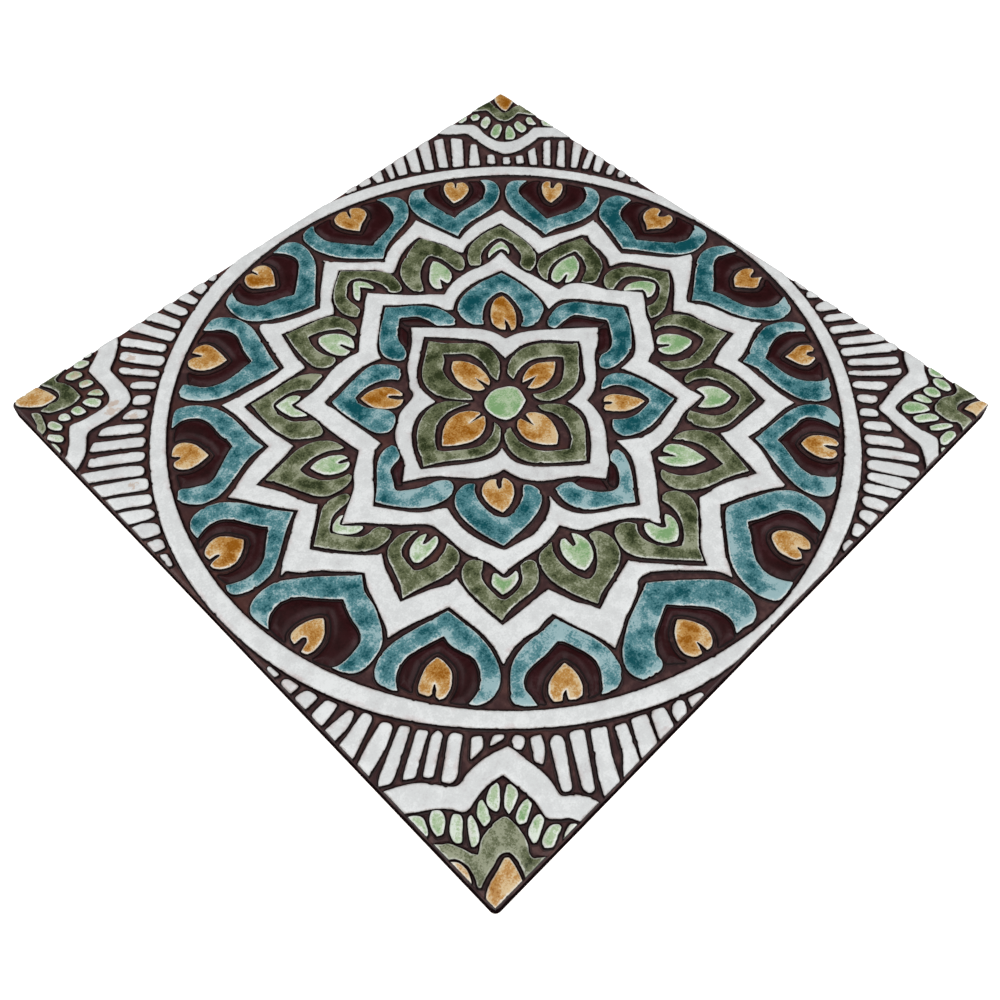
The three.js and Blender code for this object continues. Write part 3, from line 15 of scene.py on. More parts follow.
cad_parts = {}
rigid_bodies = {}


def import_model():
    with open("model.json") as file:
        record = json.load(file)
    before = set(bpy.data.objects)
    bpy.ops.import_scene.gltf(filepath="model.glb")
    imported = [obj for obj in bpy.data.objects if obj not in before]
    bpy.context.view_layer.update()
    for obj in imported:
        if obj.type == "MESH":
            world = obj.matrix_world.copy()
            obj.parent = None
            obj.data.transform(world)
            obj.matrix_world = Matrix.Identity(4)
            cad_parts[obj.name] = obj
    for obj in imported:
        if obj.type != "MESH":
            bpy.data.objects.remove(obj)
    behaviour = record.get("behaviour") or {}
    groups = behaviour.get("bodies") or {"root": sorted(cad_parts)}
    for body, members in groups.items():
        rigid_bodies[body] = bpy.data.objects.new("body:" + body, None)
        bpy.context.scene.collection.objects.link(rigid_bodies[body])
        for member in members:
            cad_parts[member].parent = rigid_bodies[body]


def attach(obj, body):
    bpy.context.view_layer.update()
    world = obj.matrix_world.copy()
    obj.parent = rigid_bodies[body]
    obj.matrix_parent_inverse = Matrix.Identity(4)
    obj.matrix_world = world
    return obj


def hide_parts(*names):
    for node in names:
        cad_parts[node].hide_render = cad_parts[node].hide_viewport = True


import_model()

LOG = logging.getLogger("tile")
SEED = 41

# a millimetre in metres, and a metre in millimetres
MM = 0.001
METRE = 1000

# sizes of the tile in millimetres
SIDE = 300.0
THICKNESS = 9.0
RELIEF = 1.5
FLOOR = THICKNESS - RELIEF
CORNER_RADIUS = 2.5
PAD_LIMIT = SIDE / 2 - 0.7
MOAT = 2.5
MOAT_STEP = 0.8
RING_RADIUS = 151.5
RING_WIDTH = 7.0

# how far the ring's hand-drawn edges stray from a true circle, every fifteen degrees
# anticlockwise from the right
OUTER_STRAY = (
    2.5, 1.9, 1.5, 0.9, 0.0, 0.1, 0.0, -0.1, -1.6, -2.5, -2.5, -2.3,
    -2.5, -2.3, -2.4, -2.9, -1.4, -0.1, -1.2, 1.9, 3.0, 2.3, 2.7, 2.8,
)
INNER_STRAY = (
    3.6, 3.0, 2.5, 1.8, 0.5, 0.0, 0.0, -0.7, -1.6, -2.0, -2.4, -3.3,
    -3.3, -3.4, -3.5, -2.7, -1.6, -0.5, 1.8, 2.1, 2.7, 3.1, 3.7, 3.9,
)


@dataclass(frozen=True)
class Sheet:
    """A drawing sheet laid over the tile's face, with its own corner and scale.

    Outlines are written in the sheet's own units, right and down from its top left corner.
    Where downward is -1 the second number runs up instead.
    """

    left: float
    top: float
    per_mm: float
    downward: int = 1

    def place(self, right: float, down: float) -> tuple[float, float]:
        """The point in millimetres from the tile's centre."""
        return self.left + right / self.per_mm, self.top - self.downward * down / self.per_mm


SHEETS = {
    "N1": Sheet(-5, 152, 14),
    "E1": Sheet(70, 100, 14),
    "E2": Sheet(70, 5, 14),
    "S1": Sheet(-5, -70, 14),
    "S2": Sheet(-100, -70, 14),
    "W2": Sheet(-152, 5, 14),
    "W1": Sheet(-152, 100, 14),
    "N2": Sheet(-100, 152, 14),
    "Q0": Sheet(-5, 105, 14),
    "Q1": Sheet(-105, 105, 14),
    "Q2": Sheet(-105, 5, 14),
    "Q3": Sheet(-5, 5, 14),
    "SW": Sheet(-152, -62, 13),
    "NE": Sheet(62, 152, 13),
    "SE": Sheet(62, -62, 13),
    "NW": Sheet(-152, 152, 13),
    "MM": Sheet(0, 0, 1, downward=-1),
}

# outlines of the pads, point by point on the sheets

# the sixteen outer petals, clockwise from the north
TEAL_OUTER = (
    "N1 385,715 300,630 200,520 150,430 118,330 117,250 125,200 165,155 235,141 252,150 225,195 "
    "218,260 225,320 260,380 330,470 415,577 450,560 560,535 660,500 705,462 735,395 745,330 "
    "742,290 730,257 760,265 835,320 855,370 850,430 815,490 740,555 610,595 470,650",
    "N1 885,912 860,800 838,690 827,600 832,530 855,455 890,410 935,378 975,370 1040,410 1000,440 "
    "975,500 968,560 975,660 990,770 1060,758 1240,768 1300,742 1345,705 1370,660 1378,618 "
    "1415,650 1433,700 1425,745 1390,800 1330,845 1250,872 1150,880 1040,872 940,888",
    "E1 265,592 270,500 272,400 285,270 310,190 350,120 400,75 450,52 495,65 530,95 556,125 "
    "500,130 455,148 428,178 414,230 400,330 378,492 440,515 520,545 600,566 660,563 725,538 "
    "770,495 792,448 818,490 823,540 800,590 740,640 665,668 590,672 520,662 440,635 350,600",
    "E1 533,1052 560,980 600,880 622,800 645,742 690,695 770,655 840,652 895,680 926,740 925,776 "
    "880,778 820,788 775,808 745,850 715,945 658,1058 720,1140 780,1215 830,1262 880,1290 "
    "915,1298 965,1285 1010,1270 1045,1242 1053,1290 1045,1340 1000,1385 920,1403 850,1400 "
    "785,1372 730,1320 650,1215 585,1115",
    "E2 495,350 560,310 640,252 720,195 800,145 860,122 920,120 980,140 1030,178 1054,215 "
    "1050,272 1000,248 960,232 915,218 855,238 790,290 720,348 655,395 678,460 690,560 710,630 "
    "750,690 820,745 880,757 947,750 920,800 895,842 840,858 780,852 735,828 690,780 640,708 "
    "600,620 580,530 558,440 530,385",
    "E2 325,905 400,890 500,850 580,832 650,827 710,845 770,882 812,930 833,975 830,1003 800,1026 "
    "765,990 725,955 680,935 625,930 560,942 500,965 445,985 440,1060 435,1130 445,1205 475,1270 "
    "520,1320 555,1348 595,1352 560,1395 530,1410 500,1448 465,1457 425,1440 380,1400 345,1345 "
    "328,1260 325,1160 340,1060 343,980",
    "S1 960,278 940,370 900,480 870,600 860,670 870,740 900,800 945,832 1000,825 1045,800 "
    "1072,777 1030,740 995,690 978,640 982,580 1010,500 1035,430 1045,378 1120,378 1200,385 "
    "1290,390 1332,430 1360,490 1370,540 1380,577 1430,545 1456,470 1450,425 1415,370 1370,330 "
    "1300,302 1200,290 1080,284",
    "S1 462,470 410,500 340,562 262,640 205,700 165,770 143,850 138,930 158,1000 188,1040 "
    "255,1047 310,1036 336,1029 300,970 280,905 285,850 310,790 350,740 410,680 468,609 540,650 "
    "620,680 680,710 715,760 726,830 715,890 708,941 770,920 820,888 842,830 842,760 830,690 "
    "800,640 740,590 650,545 560,505",
    "S2 1095,468 1040,490 950,522 850,560 760,610 690,660 645,720 636,780 655,835 700,852 765,862 "
    "800,840 812,795 840,755 885,712 950,682 1010,655 1072,630 1115,682 1170,740 1220,800 "
    "1246,860 1250,930 1230,975 1205,1007 1260,1012 1320,1028 1372,1008 1412,960 1432,900 "
    "1430,830 1410,765 1370,712 1300,642 1200,552",
    "S2 592,270 500,273 400,265 320,270 250,290 190,330 140,380 98,425 90,462 112,502 165,550 "
    "175,500 185,440 218,402 260,381 330,376 400,380 450,375 500,370 524,400 545,470 562,540 "
    "558,600 538,645 498,692 443,739 475,757 520,769 572,755 620,712 645,650 657,590 650,500 "
    "630,420 608,345",
    "W2 942,880 860,865 760,842 680,826 600,817 530,822 470,842 420,880 398,925 405,970 422,1012 "
    "440,1037 462,1000 500,962 550,938 610,928 680,940 760,958 823,975 813,1040 828,1110 846,1170 "
    "836,1222 800,1280 750,1322 700,1340 650,1347 672,1378 712,1400 770,1406 840,1380 890,1332 "
    "928,1255 950,1170 957,1080 950,980",
    "W2 760,388 700,338 620,262 540,192 480,146 410,100 340,82 270,85 210,108 180,150 176,210 "
    "189,292 215,255 250,226 310,207 370,217 430,252 480,312 530,370 589,432 560,500 542,560 "
    "525,640 490,688 440,706 370,716 310,712 284,696 310,760 352,808 420,822 500,806 562,778 "
    "612,718 650,650 680,580 700,480 730,430",
    "W1 752,1134 700,1068 640,980 600,905 550,842 500,792 440,762 380,750 315,763 278,800 262,850 "
    "262,890 300,876 350,866 410,876 450,900 490,950 525,1015 560,1075 588,1110 540,1160 490,1212 "
    "440,1260 390,1284 340,1292 280,1286 225,1264 190,1244 175,1290 192,1328 240,1356 300,1370 "
    "380,1368 440,1350 500,1312 580,1250 660,1190",
    "W1 918,648 908,560 915,450 916,340 905,270 880,200 840,140 790,92 745,68 705,63 655,105 "
    "612,156 660,152 700,156 745,182 778,220 796,290 788,400 795,470 788,518 740,540 680,572 "
    "620,605 570,630 525,633 470,607 430,585 392,555 372,553 335,600 345,640 372,682 412,720 "
    "470,740 520,746 600,728 680,700 780,662 850,650",
    "N2 628,968 650,860 680,750 705,650 717,580 710,510 690,450 650,395 600,356 555,356 515,370 "
    "483,385 520,422 560,450 590,492 607,560 590,632 565,700 553,760 545,806 480,812 400,820 "
    "330,818 262,800 210,765 175,720 152,680 131,656 75,690 65,722 80,770 120,822 170,868 230,905 "
    "300,925 400,935 520,955",
    "N2 1132,714 1190,640 1260,560 1330,480 1382,400 1408,320 1416,240 1402,190 1365,152 1320,139 "
    "1260,149 1230,153 1265,195 1292,240 1306,300 1290,350 1240,410 1180,470 1130,518 1088,553 "
    "1030,525 960,500 890,480 840,440 805,388 795,340 802,280 816,246 770,268 730,300 712,350 "
    "708,420 722,490 762,550 820,597 900,642 1000,682 1080,706",
)

# the dark hearts of the outer petals
OXBLOOD_OUTER = (
    "N1 245,170 236,240 240,310 275,372 345,458 420,548 540,522 655,487 695,450 720,390 730,330 "
    "722,265 640,225 560,205 400,175 300,160",
    "N1 1050,425 1012,460 990,510 985,560 992,660 1002,752 1060,742 1240,752 1290,730 1330,695 "
    "1352,655 1360,610 1330,580 1260,520 1180,470 1100,430",
    "E1 540,150 480,155 442,185 430,230 416,330 395,480 445,502 520,530 600,550 660,548 715,525 "
    "755,485 778,440 740,370 690,280 640,210 590,160",
    "E1 900,790 830,802 788,820 760,858 732,945 680,1055 735,1130 790,1200 840,1248 885,1275 "
    "915,1283 965,1270 1010,1255 1035,1230 1030,1150 1015,1050 990,940 950,830",
    "E2 1010,262 960,248 915,235 860,252 800,305 735,360 675,402 695,465 706,560 725,625 762,680 "
    "825,728 880,740 940,732 970,640 1000,540 1015,440 1030,330",
    "E2 790,1010 755,985 715,960 680,950 625,945 565,957 505,980 460,995 455,1060 450,1130 "
    "460,1200 488,1260 530,1308 570,1330 640,1270 700,1190 750,1110 785,1050",
    "S1 1050,755 1010,690 994,640 998,580 1026,500 1050,430 1060,395 1120,393 1200,400 1285,407 "
    "1320,440 1345,495 1358,560 1350,590 1280,655 1200,710 1120,755",
    "S1 350,1018 316,965 296,900 300,855 325,800 362,752 420,695 470,638 540,668 615,697 672,726 "
    "702,768 710,830 700,890 692,940 620,970 540,990 440,1008",
    "S2 815,855 826,805 853,767 895,726 955,697 1015,670 1070,648 1105,692 1158,752 1206,810 "
    "1230,865 1235,930 1215,975 1185,1012 1100,995 1000,968 900,930",
    "S2 180,545 190,505 200,447 230,414 265,396 330,391 400,395 450,390 492,386 510,408 530,475 "
    "547,540 543,598 524,637 487,680 440,722 360,690 280,645",
    "W2 470,1015 512,975 556,952 612,943 678,955 755,973 806,987 798,1040 813,1110 830,1170 "
    "820,1215 788,1268 742,1308 700,1325 640,1330 585,1260 530,1180 490,1090",
    "W2 205,280 225,265 258,240 310,223 365,231 420,264 468,322 520,382 572,433 546,497 527,556 "
    "510,635 480,675 437,691 370,701 300,694 262,640 232,540 210,420 200,330",
    "W1 250,905 305,890 352,880 405,890 440,912 478,960 512,1022 546,1085 570,1110 530,1150 "
    "480,1200 432,1246 386,1269 340,1277 284,1271 232,1250 205,1225 200,1130 215,1020",
    "W1 640,168 700,171 737,194 764,228 781,292 773,400 780,470 774,506 733,526 672,558 612,590 "
    "566,614 525,617 478,592 440,570 400,540 440,450 500,340 570,240",
    "N2 500,405 510,425 548,462 576,500 592,560 575,625 549,696 538,755 530,792 480,797 400,805 "
    "332,803 270,786 220,753 188,710 165,670 210,600 280,530 360,470 440,420",
    "N2 1215,160 1250,202 1276,246 1290,300 1276,343 1228,400 1168,459 1120,506 1085,533 1035,510 "
    "965,485 897,466 852,430 820,382 811,340 818,285 835,245 920,210 1040,178 1130,165",
)

# the drops in the dark hearts
AMBER_OUTER = (
    "N1 445,405 400,340 378,285 376,240 395,200 440,178 485,182 505,200 490,235 478,270 500,250 "
    "522,205 545,195 585,225 600,265 592,305 560,335 500,365",
    "N1 1085,660 1092,600 1110,545 1150,490 1190,473 1225,495 1222,520 1195,555 1200,562 1240,525 "
    "1275,548 1280,585 1255,630 1210,655 1150,668",
    "E1 515,402 513,365 530,320 560,270 610,228 645,225 667,250 640,275 622,295 630,312 665,298 "
    "700,295 705,320 680,355 620,390 560,400",
    "E1 783,1045 820,1005 845,960 880,932 930,922 975,935 997,965 990,990 940,1005 938,1020 "
    "965,1045 1000,1055 1000,1085 970,1110 920,1115 870,1112 840,1085 810,1060",
    "E2 790,470 820,440 850,415 900,403 950,408 985,430 1000,455 985,470 940,478 925,492 950,515 "
    "985,540 960,545 905,570 880,572 850,545 820,510",
    "E2 543,1065 600,1070 660,1068 700,1085 728,1115 725,1150 705,1160 670,1140 648,1150 655,1175 "
    "672,1195 660,1210 600,1210 565,1180 550,1120",
    "S1 1120,492 1170,490 1220,505 1265,555 1288,610 1280,650 1255,655 1225,610 1205,595 1208,630 "
    "1225,665 1210,690 1170,690 1130,650 1112,600 1110,540",
    "S1 515,760 550,775 595,830 612,890 605,940 575,968 545,945 535,910 527,912 515,950 490,972 "
    "460,950 440,890 440,850 460,800 485,770",
    "S2 1045,732 1075,765 1105,820 1115,870 1100,920 1060,960 1020,960 1022,900 1015,890 1000,930 "
    "985,955 945,940 920,900 922,860 945,810 985,765",
    "S2 435,482 440,530 430,590 405,640 370,672 330,665 300,640 320,610 335,592 310,595 275,622 "
    "245,600 240,570 265,530 310,500 370,488",
    "W2 715,1040 722,1090 712,1150 680,1190 640,1220 590,1235 560,1225 555,1200 590,1165 605,1145 "
    "590,1145 555,1175 530,1170 510,1125 530,1095 600,1055 660,1038",
    "W2 440,445 410,490 370,530 320,552 270,557 240,545 228,515 250,505 290,490 300,470 285,455 "
    "230,455 235,425 260,395 310,388 370,400 410,420",
    "W1 438,1080 420,1105 380,1140 330,1165 290,1170 240,1150 210,1115 203,1085 230,1075 280,1072 "
    "285,1062 265,1052 225,1050 225,1010 250,980 300,962 350,968 395,1010",
    "W1 650,472 648,420 640,360 615,310 575,280 530,285 490,325 500,340 525,365 515,375 475,370 "
    "457,395 465,430 500,465 550,480 610,478",
    "N2 442,688 447,620 445,540 430,500 400,478 360,472 320,490 340,520 355,550 345,555 300,525 "
    "265,525 242,560 250,605 290,655 340,680 400,690",
    "N2 1050,402 1080,360 1110,310 1128,260 1120,215 1095,188 1050,178 1028,185 1035,235 1028,245 "
    "1015,205 975,195 940,220 922,270 930,310 970,350 1010,375",
)

# leaf green petals of the second ring, of the centre and of the corners
LEAVES = (
    "N2 1400,725 1355,765 1318,805 1308,850 1310,900 1306,950 1280,975 1252,988 1232,965 1208,905 "
    "1212,840 1235,780 1290,712 1365,650 N1 108,603 200,690 250,742 300,800 325,850 322,910 "
    "308,970 290,1005 265,1016 235,1000 215,968 222,930 222,880 205,830 180,775 150,735 108,715",
    "Q0 680,95 600,112 520,145 430,190 375,240 345,300 330,370 332,420 350,445 378,460 400,430 "
    "430,380 470,330 530,285 600,255 630,262 655,320 662,390 660,450 668,490 690,505 730,480 "
    "765,430 770,370 765,300 750,240 725,170 700,110",
    "Q0 1160,385 1080,368 1000,362 920,370 850,395 800,435 762,490 755,515 790,548 808,555 "
    "835,530 860,500 900,475 960,458 1040,455 1070,465 1085,500 1088,560 1080,620 1065,670 "
    "1030,710 1000,730 985,760 985,800 1000,828 1060,810 1110,770 1145,720 1170,620 1172,520 "
    "1168,440",
    "Q0 1465,858 1380,830 1290,800 1200,788 1120,795 1060,830 1025,880 1010,930 1020,965 1060,930 "
    "1120,895 1200,885 1280,895 1340,912 1330,980 1300,1040 1260,1085 1210,1110 1165,1130 "
    "1190,1175 1230,1195 1300,1170 1370,1130 1420,1050 1445,960",
    "E1 580,1408 540,1340 500,1272 440,1195 380,1152 310,1130 250,1143 207,1178 190,1220 212,1257 "
    "262,1240 325,1233 370,1248 420,1300 450,1352 463,1400 E2 450,112 415,148 365,178 310,190 "
    "255,180 222,215 195,262 230,277 300,277 360,252 430,210 500,160 545,118",
    "Q3 1490,688 1400,700 1320,716 1240,732 1160,726 1085,693 1025,645 1003,600 1008,540 1040,565 "
    "1075,605 1130,638 1190,650 1260,645 1320,628 1350,608 1350,550 1335,480 1305,415 1265,375 "
    "1220,352 1190,348 1205,328 1250,315 1310,318 1365,340 1410,390 1440,450 1455,530 1470,610",
    "Q3 1198,1148 1100,1150 1000,1152 920,1145 850,1108 803,1050 782,990 790,948 815,930 847,922 "
    "868,965 895,1015 935,1060 990,1085 1060,1090 1110,1082 1145,1062 1155,990 1152,920 1130,860 "
    "1092,812 1050,785 1000,775 995,760 1020,735 1065,728 1115,740 1165,772 1208,822 1235,885 "
    "1244,960 1235,1045 1215,1100",
    "Q3 750,1450 690,1418 620,1388 540,1365 460,1335 400,1290 358,1235 343,1180 352,1130 375,1098 "
    "400,1085 412,1130 440,1185 490,1235 550,1272 620,1300 682,1312 692,1250 700,1180 690,1110 "
    "655,1045 612,985 660,985 710,1003 755,1035 792,1085 815,1140 810,1210 790,1300 770,1380",
    "S1 95,602 140,530 200,478 270,415 330,362 362,305 368,250 348,200 310,165 268,153 238,178 "
    "242,235 235,285 208,345 168,395 125,432 85,452 S2 1380,430 1340,378 1308,320 1298,270 "
    "1310,220 1345,178 1310,130 1262,110 1218,128 1185,180 1168,250 1185,320 1235,388 1300,462 "
    "1370,540 1425,600",
    "Q2 885,1420 850,1330 825,1240 812,1150 822,1080 848,1015 890,982 950,976 990,975 958,1015 "
    "935,1065 925,1130 930,1200 948,1265 972,1288 1020,1278 1070,1245 1115,1200 1150,1145 "
    "1172,1087 1215,1098 1240,1135 1247,1195 1225,1265 1185,1312 1115,1350 1030,1372 950,1390",
    "Q2 447,1128 445,1040 445,950 450,860 468,805 508,755 560,735 600,750 632,795 600,822 560,855 "
    "540,900 533,960 533,1025 548,1052 610,1057 665,1050 705,1028 735,990 760,958 800,958 828,980 "
    "830,1010 795,1065 745,1103 685,1118 600,1112 520,1113",
    "Q2 160,655 205,590 240,500 268,420 305,370 360,348 425,345 475,365 510,395 450,393 395,405 "
    "350,435 330,490 323,570 355,592 410,608 470,610 530,595 572,568 580,610 576,655 545,695 "
    "485,716 420,712 350,697 280,677 215,662",
    "W1 688,1390 750,1340 820,1280 880,1235 935,1217 1000,1227 1045,1250 1052,1280 1010,1300 "
    "950,1302 895,1312 850,1342 815,1378 810,1395 W2 822,75 850,125 885,170 920,202 960,213 "
    "1015,212 1050,245 1063,290 1040,312 980,322 915,312 855,275 800,215 740,135",
    "Q1 115,917 200,905 300,890 380,880 450,890 510,915 560,960 585,1010 590,1060 560,1050 "
    "520,1020 470,1000 420,990 350,990 305,1000 305,1040 320,1100 350,1150 400,1195 450,1215 "
    "495,1225 485,1255 440,1275 370,1275 300,1255 250,1200 215,1120 180,1040 150,970",
    "Q1 402,415 480,425 570,430 660,432 730,442 790,470 830,503 853,532 848,552 790,562 730,578 "
    "705,560 670,530 630,512 570,505 510,508 485,530 475,580 478,640 495,690 540,735 580,765 "
    "598,790 595,840 580,885 550,893 500,870 450,830 410,790 390,720 382,640 388,540 395,470",
    "Q1 905,122 980,140 1060,160 1140,180 1200,205 1240,250 1262,310 1262,370 1240,420 1205,440 "
    "1195,415 1195,370 1175,330 1140,300 1090,270 1040,250 990,240 970,290 960,350 965,410 "
    "985,460 1000,490 985,515 930,525 890,500 862,450 860,370 870,280 885,200",
    "SW 30,745 60,775 85,795 110,850 125,895 140,920 165,905 200,882 240,873 300,870 340,880 "
    "352,900 352,950 345,1000 330,1040 305,1075 300,1095 320,1115 350,1140 215,1142 235,1100 "
    "250,1050 248,1010 215,988 160,1000 95,1015 50,1032 45,1020 60,990 75,935 70,890 55,860 "
    "30,840",
    "NE 850,38 890,65 925,90 935,120 925,170 920,215 930,255 960,278 1010,280 1060,270 1080,290 "
    "1105,335 1135,375 1135,215 1080,205 1040,212 1005,205 993,185 1000,130 1005,80 1015,45 "
    "950,38",
    "SE 885,950 920,930 970,925 1010,935 1050,960 1090,960 1120,930 1135,910 1135,1060 1100,1050 "
    "1050,1025 1000,1020 975,1035 975,1090 970,1142 870,1142 900,1110 905,1080 885,1060 878,1010",
    "NW 215,32 290,28 350,28 405,30 340,45 305,60 295,85 320,120 335,160 338,220 335,270 300,282 "
    "250,285 200,270 150,250 120,210 118,200 180,195 220,205 250,185 260,150 248,100 228,60",
    "NW 72,180 100,205 102,240 90,275 75,325 50,345 30,350 28,310 45,280 60,230 66,195",
    "MM 2.7,47.7 -4,42.5 -11,37 -15,31.5 -16.2,26 -15,20 -11,14 -6.5,9.5 -5.5,12 -6.5,18 -6.3,25 "
    "-4.5,30.5 0,34.5 2,37.5 5,34.5 9,31 11,27 10.7,20 8.5,13 8.7,9.5 13.5,13 17.5,18 19,24 18,30 "
    "13,35.5 7,41.5",
    "MM 49.2,-0.3 45,3 40.8,8 35.8,12.2 30,14.5 24.2,14.7 19.2,13 15,9.7 14,5.1 16.7,6.3 21.7,7.6 "
    "27.5,7.3 32.1,4.7 36.3,1.3 38.8,-1.6 36.7,-4.1 32.5,-7.8 27.5,-10.8 22.5,-10.8 17.5,-9.1 "
    "14.2,-6.8 13.5,-9.5 15.8,-13.7 20.8,-16.2 26.7,-16.8 32.1,-15.8 37.5,-12.4 42.5,-7.4 "
    "46.7,-3.7",
    "MM 4.6,-47.4 10.8,-41.2 16.7,-35.3 19.8,-29.5 20.2,-23.7 18.8,-19.5 15,-15.3 11.3,-12.7 "
    "10.7,-15.3 12.9,-20.3 13.1,-25.3 11.3,-31.2 8.3,-35.3 4.2,-38.3 0,-35.3 -4.6,-31.2 "
    "-7.3,-26.2 -7.9,-20.3 -6.7,-15.3 -5.4,-12.4 -8.3,-12.4 -12.1,-16.2 -14.3,-22 -14.2,-27 "
    "-12.1,-32 -7.5,-37 -1.7,-42",
    "MM -45.7,-1.6 -43.3,2.2 -40.8,7.2 -36.7,12.2 -31.7,16.3 -25.8,18.7 -20.8,19 -15.8,17.2 "
    "-11.7,13 -9,8.8 -13.3,10.7 -18.3,11.8 -24.2,11.3 -29.2,8.8 -33.3,4.7 -36,0.5 -34.2,-2 "
    "-30,-5.3 -25.8,-8.5 -20.8,-10.8 -15.8,-10.3 -11.7,-8.7 -8.5,-5.8 -8.8,-9.5 -11.7,-12.8 "
    "-15,-15.2 -20,-16.2 -25,-14.9 -30,-12 -35,-7.8 -40.8,-4.1",
)

